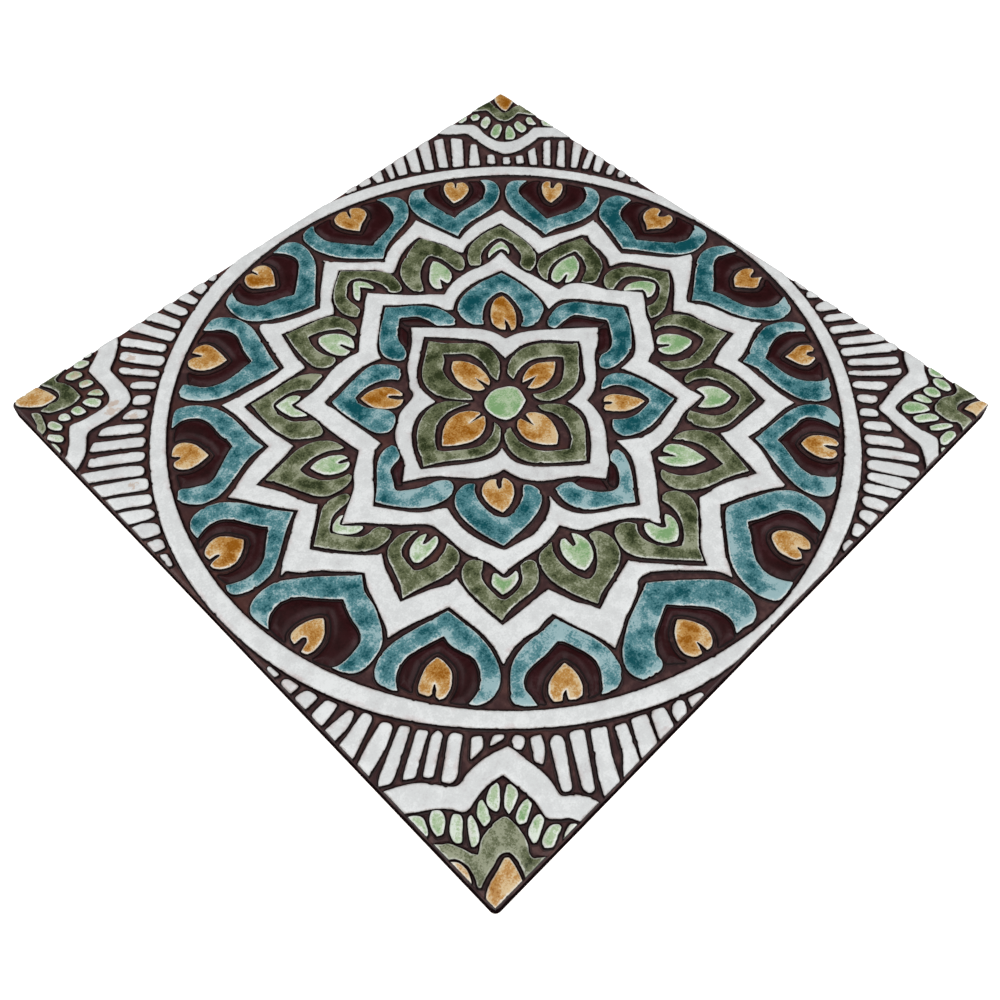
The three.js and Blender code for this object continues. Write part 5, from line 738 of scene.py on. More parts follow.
class Glaze(Enum):
    """The glazes on the raised pads."""

    WHITE = "white_glaze"
    TEAL = "teal_glaze"
    LEAF = "leaf_glaze"
    MINT = "mint_glaze"
    AMBER = "amber_glaze"
    OXBLOOD = "oxblood_glaze"


def read_outline(text: str) -> Loop:
    """Reads an outline written as sheet names and points.

    Args:
        text: points as right,down pairs, each run led by the name of its sheet.

    Returns:
        The points in millimetres from the tile's centre.
    """
    sheet = SHEETS["MM"]
    points = []
    for word in text.split():
        if "," not in word:
            sheet = SHEETS[word]
            continue
        right, down = (float(part) for part in word.split(","))
        points.append(sheet.place(right, down))
    return np.array(points)


def signed_area(loop: Loop) -> float:
    """The loop's area, positive where it runs counter-clockwise."""
    x, y = loop[:, 0], loop[:, 1]
    return float(0.5 * np.sum(x * np.roll(y, -1) - np.roll(x, -1) * y))


def wound(loop: Loop, counter_clockwise: bool = True) -> Loop:
    """Turns a loop round if it runs the wrong way.

    Args:
        loop: a closed loop.
        counter_clockwise: which way is wanted.

    Returns:
        The loop or its reverse.
    """
    if (signed_area(loop) > 0) == counter_clockwise:
        return loop
    return loop[::-1]


def softened(loop: Loop, per_span: int = 8, corner: float = 50.0) -> Loop:
    """Rounds an outline between its points and keeps its sharp corners.

    Args:
        loop: the points of the outline.
        per_span: how many points each span becomes.
        corner: the turn in degrees past which a point stays sharp.

    Returns:
        The rounded outline.
    """
    step = np.roll(loop, -1, axis=0) - loop
    length = np.linalg.norm(step, axis=1)
    ahead = step / np.maximum(length, SAME)[:, None]
    behind = np.roll(ahead, 1, axis=0)
    before = np.roll(length, 1)
    turn = np.degrees(np.arccos(np.clip(np.sum(ahead * behind, axis=1), -1, 1)))
    sharp = turn > corner
    tangent = ahead * length[:, None] + behind * before[:, None]
    tangent /= np.maximum(np.linalg.norm(tangent, axis=1), SAME)[:, None]
    count = len(loop)
    made = []
    for i in range(count):
        j = (i + 1) % count
        start = ahead[i] if sharp[i] else tangent[i]
        end = ahead[i] if sharp[j] else tangent[j]
        for k in range(per_span):
            t = k / per_span
            made.append(
                (2 * t**3 - 3 * t**2 + 1) * loop[i]
                + (t**3 - 2 * t**2 + t) * length[i] * start
                + (3 * t**2 - 2 * t**3) * loop[j]
                + (t**3 - t**2) * length[i] * end
            )
    return np.array(made)


def spaced(loop: Loop, step: float, corner: float = 32.0) -> Loop:
    """Points at about one distance along a loop, with its corners kept.

    Args:
        loop: a closed loop with close points.
        step: the distance wanted, in millimetres.
        corner: the turn in degrees past which a point is a corner.

    Returns:
        The loop with new points.
    """
    ahead = np.roll(loop, -1, axis=0) - loop
    keep = np.linalg.norm(ahead, axis=1) > SHORT
    loop = loop[keep]
    ahead = np.roll(loop, -1, axis=0) - loop
    length = np.linalg.norm(ahead, axis=1)
    heading = ahead / length[:, None]
    turn = np.degrees(
        np.arccos(np.clip(np.sum(heading * np.roll(heading, 1, axis=0), axis=1), -1, 1))
    )
    corners = list(np.nonzero(turn > corner)[0]) or [0]
    made = []
    count = len(loop)
    for n, first in enumerate(corners):
        last = corners[(n + 1) % len(corners)]
        span = (last - first) % count or count
        run = loop[[(first + k) % count for k in range(span + 1)]]
        along = np.concatenate([[0], np.cumsum(np.linalg.norm(np.diff(run, axis=0), axis=1))])
        parts = max(1, round(along[-1] / step))
        at = np.linspace(0, along[-1], parts + 1)[:-1]
        made.append(
            np.stack([np.interp(at, along, run[:, 0]), np.interp(at, along, run[:, 1])], -1)
        )
    return np.concatenate(made)


def rounded(loop: Loop, reach: float) -> Loop:
    """Rounds the corners of a loop.

    Args:
        loop: a closed loop.
        reach: about how far from a corner the rounding starts, in millimetres.

    Returns:
        The rounded loop, with close points.
    """
    fine = spaced(loop, PITCH, 180.0)
    half = math.ceil(2.5 * reach / PITCH)
    offsets = range(-half, half + 1)
    weights = [math.exp(-0.5 * (offset * PITCH / reach) ** 2) for offset in offsets]
    blended = sum(w * np.roll(fine, offset, axis=0) for offset, w in zip(offsets, weights))
    return blended / sum(weights)


def normals(loop: Loop) -> Loop:
    """Finds which way is left at each point of a loop.

    Args:
        loop: a closed loop.

    Returns:
        The unit vectors to the left of the way along the loop.
    """
    ahead = np.roll(loop, -1, axis=0) - loop
    ahead /= np.maximum(np.linalg.norm(ahead, axis=1), SAME)[:, None]
    mean = ahead + np.roll(ahead, 1, axis=0)
    mean /= np.maximum(np.linalg.norm(mean, axis=1), SAME)[:, None]
    return np.stack([-mean[:, 1], mean[:, 0]], -1)


def inside(points: Loop, loops: Iterable[Loop]) -> np.ndarray:
    """Tests which points lie inside a set of loops.

    Args:
        points: the points.
        loops: closed loops, where a loop in a loop is a hole.

    Returns:
        True for each point inside.
    """
    within = np.zeros(len(points), bool)
    for loop in loops:
        ahead = np.roll(loop, -1, axis=0)
        for (ax, ay), (bx, by) in zip(loop, ahead):
            if ay == by:
                continue
            spans = (points[:, 1] < ay) != (points[:, 1] < by)
            at = ax + (points[:, 1] - ay) * (bx - ax) / (by - ay)
            within ^= spans & (points[:, 0] < at)
    return within


def hull(loop: Loop) -> Loop:
    """Stretches a convex outline round a loop.

    Args:
        loop: a closed loop.

    Returns:
        The outline, counter-clockwise.
    """
    order = sorted(map(tuple, loop))

    def half(points: Sequence[tuple[float, float]]) -> list[tuple[float, float]]:
        """Walks one side of the outline.

        Args:
            points: the loop's points in order across.

        Returns:
            Those on the outline, without the last.
        """
        kept: list[tuple[float, float]] = []
        for p in points:
            while len(kept) > 1:
                (ax, ay), (bx, by) = kept[-2:]
                if (bx - ax) * (p[1] - ay) - (by - ay) * (p[0] - ax) > 0:
                    break
                kept.pop()
            kept.append(p)
        return kept[:-1]

    return np.array(half(order) + half(order[::-1]))


def triangles(points: Loop, loops: Sequence[Loop]) -> tuple[Loop, np.ndarray]:
    """Constrained triangles of a set of points whose first ones are closed loops.

    Args:
        points: every point, the loops' own first.
        loops: the loops that bound the field.

    Returns:
        The points used and the triangles inside the loops, counter-clockwise.
    """
    edges = []
    start = 0
    for loop in loops:
        count = len(loop)
        edges += [(start + k, start + (k + 1) % count) for k in range(count)]
        start += count
    verts, _, faces, *_ = delaunay_2d_cdt([Vector(p) for p in points], edges, [], 0, MERGED)
    flat = np.array([tuple(v) for v in verts])
    faces = np.array([tuple(f) for f in faces])
    centre = flat[faces].mean(axis=1)
    return flat, faces[inside(centre, loops)]


def rims(faces: np.ndarray) -> list[list[int]]:
    """Finds the closed loops of vertices round a set of triangles.

    Args:
        faces: the triangles, counter-clockwise.

    Returns:
        The loops, each with the triangles on its left.
    """
    sides = {(int(a), int(b)) for f in faces for a, b in ((f[0], f[1]), (f[1], f[2]), (f[2], f[0]))}
    ahead: dict[int, list[int]] = {}
    for a, b in sides:
        if (b, a) not in sides:
            ahead.setdefault(a, []).append(b)
    found = []
    while ahead:
        first = min(ahead)
        at = first
        run = []
        while at in ahead:
            run.append(at)
            after = ahead[at].pop()
            if not ahead[at]:
                del ahead[at]
            at = after
            if at == first:
                break
        found.append(run)
    return [run for run in found if len(run) > 2]


def without(outer: Loop, cut: Loop) -> list[Loop]:
    """Cuts one loop from another.

    Args:
        outer: the loop that is cut.
        cut: the loop that is taken away.

    Returns:
        The loops round what stays.
    """
    both = [outer, cut]
    flat, faces = triangles(np.concatenate(both), both)
    centre = flat[faces].mean(axis=1)
    faces = faces[inside(centre, [outer]) & ~inside(centre, [cut])]
    return [flat[run] for run in rims(faces)]


def ripple(points: Loop, waves: float, layer: float) -> np.ndarray:
    """Measures smooth noise at each point.

    Args:
        points: places on the tile.
        waves: how many waves a millimetre holds.
        layer: which layer of the noise is meant.

    Returns:
        The values, about 0 in the middle.
    """
    return np.array([noise.noise(Vector((x * waves, y * waves, layer))) for x, y in points])


def edge_distance(loops: Sequence[Loop]) -> Gap:
    """Makes a measure of how far points lie from a pad's edge.

    Args:
        loops: the edge.

    Returns:
        A function that gives a point's distance.
    """
    points = np.concatenate([spaced(loop, EDGE_PITCH) for loop in loops])
    tree = kdtree.KDTree(len(points))
    for n, p in enumerate(points):
        tree.insert((p[0], p[1], 0), n)
    tree.balance()

    def gap(point: Sequence[float]) -> float:
        """The distance of one point."""
        return tree.find((point[0], point[1], 0))[2]

    return gap


@dataclass(frozen=True)
class Shoulder:
    """How a pad's top turns down to its wall, in millimetres."""

    radius: float = 1.1
    shoulder: float = 0.32
    unevenness: float = 0.07
    foot: float = 0.38

    def drop(self, distance: np.ndarray) -> np.ndarray:
        """How far the face lies below its crown at a distance from the edge."""
        near = np.clip(1 - distance / self.radius, 0, 1)
        return RELIEF * self.shoulder * near**2


@dataclass
class Solid:
    """Vertices, faces and point values that are gathered into one mesh."""

    verts: list[tuple[float, float, float]] = field(default_factory=list)
    faces: list[tuple[int, ...]] = field(default_factory=list)
    edge: list[float] = field(default_factory=list)
    tone: list[float] = field(default_factory=list)

    def add(
        self,
        verts: Iterable[Sequence[float]],
        faces: Iterable[Sequence[int]],
        edge: Iterable[float],
        tone: float,
    ) -> None:
        """Adds a piece of mesh and its values.

        Args:
            verts: its vertices, in millimetres.
            faces: its faces, counted from its own first vertex.
            edge: each vertex's distance in from the pad's edge.
            tone: the piece's own share of colour.
        """
        base = len(self.verts)
        self.verts += [tuple(v) for v in verts]
        self.faces += [tuple(int(i) + base for i in f) for f in faces]
        self.edge += [float(e) for e in edge]
        self.tone += [tone] * (len(self.verts) - base)

    def to_object(self, name: str, material: bpy.types.Material) -> bpy.types.Object:
        """Makes the Blender object, in metres.

        Args:
            name: the piece's name.
            material: its finish.

        Returns:
            The linked object.
        """
        mesh = bpy.data.meshes.new(name)
        mesh.from_pydata([tuple(c * MM for c in v) for v in self.verts], [], self.faces)
        for key, values in (("edge", self.edge), ("tone", self.tone)):
            layer = mesh.attributes.new(key, "FLOAT", "POINT")
            layer.data.foreach_set("value", values)
        mesh.shade_smooth()
        mesh.materials.append(material)
        made = bpy.data.objects.new(name, mesh)
        bpy.context.scene.collection.objects.link(made)
        return made


@dataclass
class PadField:
    """The raised pads of one glaze: closed forms with a foot, a wall and a rounded face."""

    name: str
    glaze: Glaze
    shoulder: Shoulder = Shoulder()
    round_off: float = 0.3
    step: float = 0.6
    rings: tuple[float, ...] = (0.22, 0.6, 1.2, 2.2)
    grid: float = 3.0
    corner: float = 8.0
    wobble: float = 0.12
    nick: float = 1.4
    nick_start: float = 0.38
    pads: list[list[Loop]] = field(default_factory=list)

    def outlines(self, texts: Iterable[str]) -> None:
        """Adds a pad from each written outline."""
        self.pads += [[wound(softened(read_outline(text)))] for text in texts]

    def band(self, outer: str, inner: str) -> None:
        """Adds a pad between two written outlines."""
        rim, hole = softened(read_outline(outer)), softened(read_outline(inner))
        self.pads.append([wound(rim), wound(hole, False)])

    def _wobbled(self, loop: Loop) -> Loop:
        """Gives a loop a hand's small unsteadiness.

        Args:
            loop: a closed loop.

        Returns:
            The loop, kept inside the tile.
        """
        inward = normals(loop)
        shake = ripple(loop, *SHAKE) + 0.6 * ripple(loop, *FINE_SHAKE)
        nicks = np.maximum(ripple(loop, *NICKS) - self.nick_start, 0)
        depth = self.wobble * shake + self.nick * nicks
        return np.clip(loop + inward * depth[:, None], -PAD_LIMIT, PAD_LIMIT)

    def _height(self, points: Loop, distance: np.ndarray) -> np.ndarray:
        """Finds the height of the face.

        Args:
            points: places on the face.
            distance: how far each lies from the edge.

        Returns:
            Their heights.
        """
        crown = THICKNESS - self.shoulder.unevenness * (1 - ripple(points, *CROWNS))
        return crown - self.shoulder.drop(distance)

    def _face(self, loops: list[Loop], gap: Gap) -> tuple[Loop, np.ndarray]:
        """Covers a pad's face with triangles.

        Args:
            loops: its outline and any holes, each with the pad on its left.
            gap: gives a point's distance from the edge.

        Returns:
            The points and the triangles.
        """
        points = [np.concatenate(loops)]
        for ring in self.rings:
            tried = np.concatenate([loop + normals(loop) * ring for loop in loops])
            tried = tried[np.array([gap(p) for p in tried]) > ring * 0.96]
            points.append(tried[inside(tried, loops)] if len(tried) else tried.reshape(0, 2))
        low, high = points[0].min(axis=0), points[0].max(axis=0)
        across = np.arange(low[0] + self.grid / 2, high[0], self.grid)
        up = np.arange(low[1] + self.grid / 2, high[1], self.grid)
        if len(across) and len(up):
            mesh = np.stack(np.meshgrid(across, up), -1).reshape(-1, 2)
            mesh = mesh[inside(mesh, loops)]
            if len(mesh):
                mesh = mesh[np.array([gap(p) for p in mesh]) > self.rings[-1] + 0.4 * self.grid]
                points.append(mesh)
        flat, faces = triangles(np.concatenate(points), loops)
        used = np.unique(faces)
        place = {int(v): n for n, v in enumerate(used)}
        return flat[used], np.array([[place[int(v)] for v in f] for f in faces])

    def _skirt(self, rim: Loop, run: list[int], pad: Solid) -> list[int]:
        """Builds the wall under one rim, with the glaze that pooled at its foot.

        Args:
            rim: the rim's points.
            run: their places among the pad's vertices.
            pad: the pad, which the wall is added to.

        Returns:
            The places of the lowest vertices.
        """
        out = -normals(rim)
        top = THICKNESS - RELIEF * self.shoulder.shoulder
        limit = PAD_LIMIT + FOOT_REACH
        above = run
        for share, fall, mark in SKIRT:
            moved = np.clip(rim + out * self.shoulder.foot * share, -limit, limit)
            height = top + (FLOOR - top) * fall
            below = list(range(len(pad.verts), len(pad.verts) + len(run)))
            pad.verts += [(x, y, height) for x, y in moved]
            pad.edge += [mark] * len(run)
            for k in range(len(run)):
                n = (k + 1) % len(run)
                pad.faces.append((above[n], above[k], below[k], below[n]))
            above = below
        return above

    def _build(self, loops: list[Loop], tone: float, solid: Solid) -> None:
        """Builds one pad and adds it to the solid.

        Args:
            loops: its outline and any holes, each with the pad on its left.
            tone: the pad's own share of colour.
            solid: what it is added to.
        """
        loops = [
            self._wobbled(spaced(rounded(loop, self.round_off), self.step, self.corner))
            for loop in loops
        ]
        gap = edge_distance(loops)
        flat, faces = self._face(loops, gap)
        edges = rims(faces)
        distance = np.array([gap(p) for p in flat])
        for run in edges:
            distance[run] = 0
        pad = Solid()
        pad.add(np.column_stack([flat, self._height(flat, distance)]), faces, distance, tone)
        foot: dict[int, int] = {}
        for run in edges:
            foot.update(zip(run, self._skirt(flat[run], run, pad)))
        rim_loops = [flat[run] for run in edges]
        order = [k for run in edges for k in run]
        rim_points = np.concatenate(rim_loops)
        base, under = triangles(rim_points, rim_loops)
        nearest = [int(np.argmin(np.sum((rim_points - p) ** 2, axis=1))) for p in base]
        for face in under:
            corners = [foot[order[nearest[int(v)]]] for v in face[::-1]]
            if len(set(corners)) == len(corners):
                pad.faces.append(tuple(corners))
        solid.add(pad.verts, pad.faces, pad.edge, tone)

    def build(self, material: bpy.types.Material) -> bpy.types.Object:
        """Makes the mesh of every pad in the field.

        Args:
            material: the glaze.

        Returns:
            The object, in place on the tile.
        """
        chance = random.Random(SEED)
        solid = Solid()
        for loops in self.pads:
            self._build(loops, chance.random(), solid)
        return solid.to_object(self.name, material)


Number = float | int


class Sock:
    """A shader socket, or a number, that takes part in Python expressions."""

    def __init__(self, kit: "Kit", socket: bpy.types.NodeSocket) -> None:
        self.kit = kit
        self.socket = socket

    def _math(self, operation: str, *values: "Sock | Number") -> "Sock":
        """A Math node on this and other values."""
        return self.kit.node("ShaderNodeMath", {"operation": operation}, values)

    def __add__(self, other: "Sock | Number") -> "Sock":
        """self + other."""
        return self._math("ADD", self, other)

    __radd__ = __add__

    def __mul__(self, other: "Sock | Number") -> "Sock":
        """self * other."""
        return self._math("MULTIPLY", self, other)

    __rmul__ = __mul__

    def __sub__(self, other: "Sock | Number") -> "Sock":
        """self - other."""
        return self._math("SUBTRACT", self, other)

    def __rsub__(self, other: Number) -> "Sock":
        """other - self."""
        return self._math("SUBTRACT", other, self)

    def between(self, low: Number, high: Number) -> "Sock":
        """Turns the value into a share with a smooth rise.

        Args:
            low: where the share is still 0.
            high: where it has reached 1.

        Returns:
            The share.
        """
        return self.kit.node(
            "ShaderNodeMapRange",
            {"interpolation_type": "SMOOTHSTEP"},
            {"Value": self, "From Min": low, "From Max": high},
        )


class Kit:
    """The node tree of one material, with one method for every node."""

    def __init__(self, name: str) -> None:
        """Makes the material with an empty tree.

        Args:
            name: the material's name.
        """
        self.material = bpy.data.materials.new(name)
        self.material.use_nodes = True
        self.tree = self.material.node_tree
        self.tree.nodes.clear()

    def node(
        self,
        kind: str,
        settings: dict[str, object] | None = None,
        values: "dict[str, object] | Sequence[object] | None" = None,
        output: int | str = 0,
    ) -> Sock:
        """Adds a node.

        Args:
            kind: the node's type.
            settings: its properties, set first.
            values: numbers, colours or sockets for its inputs, by name or in order.
            output: which output is wanted.

        Returns:
            The output, ready for more expressions.
        """
        made = self.tree.nodes.new(kind)
        for key, value in (settings or {}).items():
            setattr(made, key, value)
        pairs = values.items() if isinstance(values, dict) else enumerate(values or ())
        for key, value in pairs:
            if isinstance(value, Sock):
                self.tree.links.new(value.socket, made.inputs[key])
            else:
                made.inputs[key].default_value = value
        return Sock(self, made.outputs[output] if len(made.outputs) else None)

    def point(self, name: str) -> Sock:
        """A value stored on the mesh's points."""
        return self.node("ShaderNodeAttribute", {"attribute_name": name}, output="Fac")

    def place(self) -> Sock:
        """The place on the object."""
        return self.node("ShaderNodeTexCoord", output="Object")

    def noise(self, size: float, detail: float = 3.0, rough: float = 0.55, seed: float = 0.0) -> Sock:
        """Noise over the surface.

        Args:
            size: about how wide its blotches are, in millimetres.
            detail: how many finer layers it has.
            rough: how strong they are.
            seed: which pattern.

        Returns:
            The noise, about 0.5 in the middle.
        """
        values = {
            "Vector": self.place(),
            "W": seed,
            "Scale": 1 / (size * MM),
            "Detail": detail,
            "Roughness": rough,
        }
        return self.node("ShaderNodeTexNoise", {"noise_dimensions": "4D"}, values)

    def mix(self, factor: Sock, first: object, second: object) -> Sock:
        """A mix of two colours."""
        return self.node("ShaderNodeMix", {"data_type": "RGBA"}, {0: factor, 6: first, 7: second}, 2)

    def along(self, direction: tuple[float, float, float]) -> Sock:
        """How far the place lies along a direction."""
        values = {0: self.place(), 1: direction}
        return self.node("ShaderNodeVectorMath", {"operation": "DOT_PRODUCT"}, values, "Value")

    def bump(self, strength: float, depth: float, height: Sock) -> Sock:
        """The normal of a surface that is raised up to depth millimetres."""
        values = {"Strength": strength, "Distance": depth * MM, "Height": height}
        return self.node("ShaderNodeBump", {}, values, "Normal")

    def finish(self, values: dict[str, object]) -> bpy.types.Material:
        """Ends the tree with the glaze shader.

        Args:
            values: the shader's inputs by name.

        Returns:
            The material.
        """
        shader = self.node("ShaderNodeBsdfPrincipled", {}, values, "BSDF")
        self.node("ShaderNodeOutputMaterial", {}, {"Surface": shader})
        return self.material


def tint(red: int, green: int, blue: int) -> tuple[float, float, float, float]:
    """Turns a display colour into scene light.

    Args:
        red: its red, from 0 to 255.
        green: its green.
        blue: its blue.

    Returns:
        The colour with full alpha.
    """

    def light(value: int) -> float:
        """One channel."""
        share = value / 255
        return share / 12.92 if share <= 0.04045 else ((share + 0.055) / 1.055) ** 2.4

    return light(red), light(green), light(blue), 1.0


# where petals that reach the ring begin and end to run pale, in millimetres from the centre
RING_EDGE = (136.0, 147.0)

# how wide the middle and the fine noise of the glazes are, in millimetres
MIDDLE_NOISE = 2.4
FINE_NOISE = 0.75

GLAZE_IOR = 1.5
SMEAR = tint(186, 168, 168)
STAIN = tint(180, 152, 130)
# near-black at the pads' feet: partly glaze pooled there, partly painted contact shade
FOOT_POOL_AND_SHADE = tint(17, 4, 5)
# the sides' glaze painted near-black: painted shade on the vertical sides
SIDE_GLAZE_PAINTED_SHADE = tint(19, 10, 11)

# brown stains on the pale glazes: where they lie and how far they reach, in millimetres
STAINS = (
    (-121.2, 114.6, 3.2),
    (-118.4, 117.4, 2.4),
    (-116.4, 105.2, 2.8),
    (-137.0, 75.5, 1.6),
    (-121.6, 142.8, 2.2),
    (-120.8, 135.0, 2.4),
    (-120.3, 128.3, 2.2),
    (-98.4, 133.8, 2.2),
)


def groove_color(kit: Kit) -> Sock:
    """The dark brown glaze that lies in the grooves, the same in every material.

    Args:
        kit: the material that it is made for.

    Returns:
        The colour, warmer toward the tile's left corner.
    """
    broad = kit.noise(26.0, 3.0, 0.6, 2.0)
    blotch = kit.noise(5.0, 4.0, 0.6, 4.0)
    dark = kit.mix(blotch.between(0.42, 0.7), tint(59, 41, 42), tint(86, 62, 60))
    left = kit.along((-3.0, 3.0, 0.0))
    warmth = (broad + left * 0.2).between(0.5, 0.75) * 0.5
    return kit.mix(warmth, dark, tint(82, 49, 41))


@dataclass(frozen=True)
class Surface:
    """What a shader knows of a place on a pad.

    edge is its distance in from the pad's edge in millimetres, tone is the pad's own share of
    colour, and the others are noise from coarse to fine.
    """

    edge: Sock
    tone: Sock
    blotch: Sock
    middle: Sock
    grain: Sock


@dataclass(frozen=True)
class GlazeLook:
    """The colours of a glaze, how it pools and how it runs thin at a pad's edge.

    The glaze's depth runs from 0, where it is pale, past 0.5, where it has its main colour.
    """

    deep: tuple[int, int, int]
    main: tuple[int, int, int]
    pale: tuple[int, int, int]
    rim: tuple[int, int, int]
    rim_width: float = 0.34
    fade: float = 3.6
    pool: float = 0.18
    level: float = 0.43
    blotch: float = 9.0
    clouds: float = 2.5
    grain: float = 1.2
    tones: float = 0.2
    lean: float = 0.7
    ends: float = 0.0
    stained: bool = False
    roughness: float = 0.34
    coat: float = 0.3
    coat_roughness: float = 0.14

    def _surface(self, kit: Kit) -> Surface:
        """Gathers what the shader needs to know of a place.

        Args:
            kit: the material that it is made for.

        Returns:
            The values.
        """
        return Surface(
            edge=kit.point("edge"),
            tone=kit.point("tone"),
            blotch=kit.noise(self.blotch, 4.0, 0.6, 1.0),
            middle=kit.noise(MIDDLE_NOISE, 3.0, 0.6, 3.0),
            grain=kit.noise(FINE_NOISE, 2.0, 0.75, 5.0),
        )

    def _pigment(self, kit: Kit, at: Surface) -> Sock:
        """Mixes the glaze's three colours by its depth.

        Args:
            kit: the material that it is made for.
            at: the place.

        Returns:
            The colour.
        """
        reach = kit.node("ShaderNodeVectorMath", {"operation": "LENGTH"}, {0: kit.place()}, "Value")
        lean = kit.along((self.lean, self.lean, 0.0))
        far = (reach * METRE).between(*RING_EDGE)
        waved = at.edge + (at.middle - 0.5) * 3.0 + (at.grain - 0.5) * 1.5
        depth = (
            waved.between(0.1, self.fade) * self.pool
            + (at.blotch - 0.5) * self.clouds
            + (at.grain - 0.5) * self.grain
            + (at.tone - 0.5) * self.tones
            + lean
            - far * self.ends
            + self.level
        )
        body = kit.mix(depth.between(0.18, 0.5), tint(*self.pale), tint(*self.main))
        return kit.mix(depth.between(0.5, 0.9), body, tint(*self.deep))

    def _stains(self, kit: Kit, at: Surface, body: Sock) -> Sock:
        """Lays a faint smear along the edges and the brown stains over a pale glaze.

        Args:
            kit: the material that it is made for.
            at: the place.
            body: the glaze's colour.

        Returns:
            The stained colour.
        """
        near = 1 - (at.edge + (at.middle - 0.5) * 4.0).between(0.2, 2.2)
        smear = kit.noise(11.0, 3.0, 0.65, 13.0).between(0.5, 0.68) * near * 0.6
        body = kit.mix(smear, body, SMEAR)
        for x, y, size in STAINS:
            away = kit.node(
                "ShaderNodeVectorMath",
                {"operation": "DISTANCE"},
                {0: kit.place(), 1: (x * MM, y * MM, THICKNESS * MM)},
                "Value",
            )
            ragged = away * METRE + (at.middle - 0.5) * 9.0 + (at.grain - 0.5) * 3.0
            spot = 1 - ragged.between(size * 0.5, size)
            body = kit.mix(spot * 0.6, body, STAIN)
        return body

    def _rim(self, kit: Kit, at: Surface, body: Sock) -> Sock:
        """Thins the glaze in patches along a pad's edge.

        Args:
            kit: the material that it is made for.
            at: the place.
            body: the glaze's colour.

        Returns:
            The colour with its rim.
        """
        ragged = at.edge + (at.grain - 0.5) * 0.9 + (at.middle - 0.5) * 1.6
        rim = 1 - ragged.between(self.rim_width * 0.4, self.rim_width * 1.9)
        patch = kit.noise(6.0, 2.0, 0.5, 15.0).between(0.4, 0.6) * 0.6 + 0.3
        return kit.mix(rim * patch, body, tint(*self.rim))

    def material(self, name: str) -> bpy.types.Material:
        """Makes the finish, dark on the pads' walls and at their feet; the near-black at the feet is
        partly pooled glaze and partly painted contact shade.

        Args:
            name: the material's name.

        Returns:
            The material.
        """
        kit = Kit(name)
        at = self._surface(kit)
        body = self._pigment(kit, at)
        if self.stained:
            body = self._stains(kit, at, body)
        body = self._rim(kit, at, body)
        # painted contact shade: the pads' feet go near-black, partly pooled glaze and partly painted
        # shade
        shade = (at.edge + (at.middle - 0.5) * 0.8).between(-1.3, -0.6)
        groove = kit.mix(shade, groove_color(kit), FOOT_POOL_AND_SHADE)
        raised = (at.edge + (at.grain - 0.5) * 0.3).between(-0.08, 0.1)
        height = kit.noise(2.2, 3.0, 0.5, 9.0) * 0.7 + at.grain * 0.3
        return kit.finish(
            {
                "Base Color": kit.mix(raised, groove, body),
                "Roughness": (at.blotch - 0.5) * 0.2 + self.roughness,
                "Normal": kit.bump(0.25, 0.12, height),
                "Specular IOR Level": 0.12,
                "Coat Weight": raised * self.coat,
                "Coat Roughness": self.coat_roughness,
                "IOR": GLAZE_IOR,
            }
        )


LOOKS = {
    Glaze.WHITE: GlazeLook(
        deep=(190, 189, 190),
        main=(206, 208, 208),
        pale=(221, 223, 223),
        rim=(166, 158, 154),
        fade=2.0,
        pool=0.0,
        level=0.44,
        blotch=6.0,
        clouds=1.3,
        grain=0.9,
        lean=0.1,
        stained=True,
    ),
    Glaze.TEAL: GlazeLook(
        deep=(6, 72, 80),
        main=(76, 125, 132),
        pale=(146, 175, 179),
        rim=(208, 214, 212),
        ends=0.5,
    ),
    Glaze.LEAF: GlazeLook(
        deep=(42, 50, 26),
        main=(94, 100, 72),
        pale=(142, 146, 122),
        rim=(204, 206, 196),
    ),
    Glaze.MINT: GlazeLook(
        deep=(120, 158, 108),
        main=(166, 186, 152),
        pale=(206, 216, 202),
        rim=(222, 224, 220),
        rim_width=0.6,
        fade=2.4,
        pool=0.26,
        level=0.38,
        clouds=2.1,
        lean=0.1,
        stained=True,
    ),
    Glaze.AMBER: GlazeLook(
        deep=(140, 82, 4),
        main=(178, 131, 69),
        pale=(204, 178, 136),
        rim=(224, 218, 206),
        rim_width=0.42,
        pool=0.28,
        level=0.37,
        clouds=2.3,
        lean=0.4,
    ),
    Glaze.OXBLOOD: GlazeLook(
        deep=(28, 1, 2),
        main=(42, 9, 12),
        pale=(56, 26, 30),
        rim=(40, 16, 18),
        rim_width=0.3,
        fade=4.5,
        pool=0.4,
        level=0.36,
        clouds=1.4,
        grain=0.5,
        lean=0.1,
        roughness=0.5,
        coat=0.1,
        coat_roughness=0.3,
    ),
}


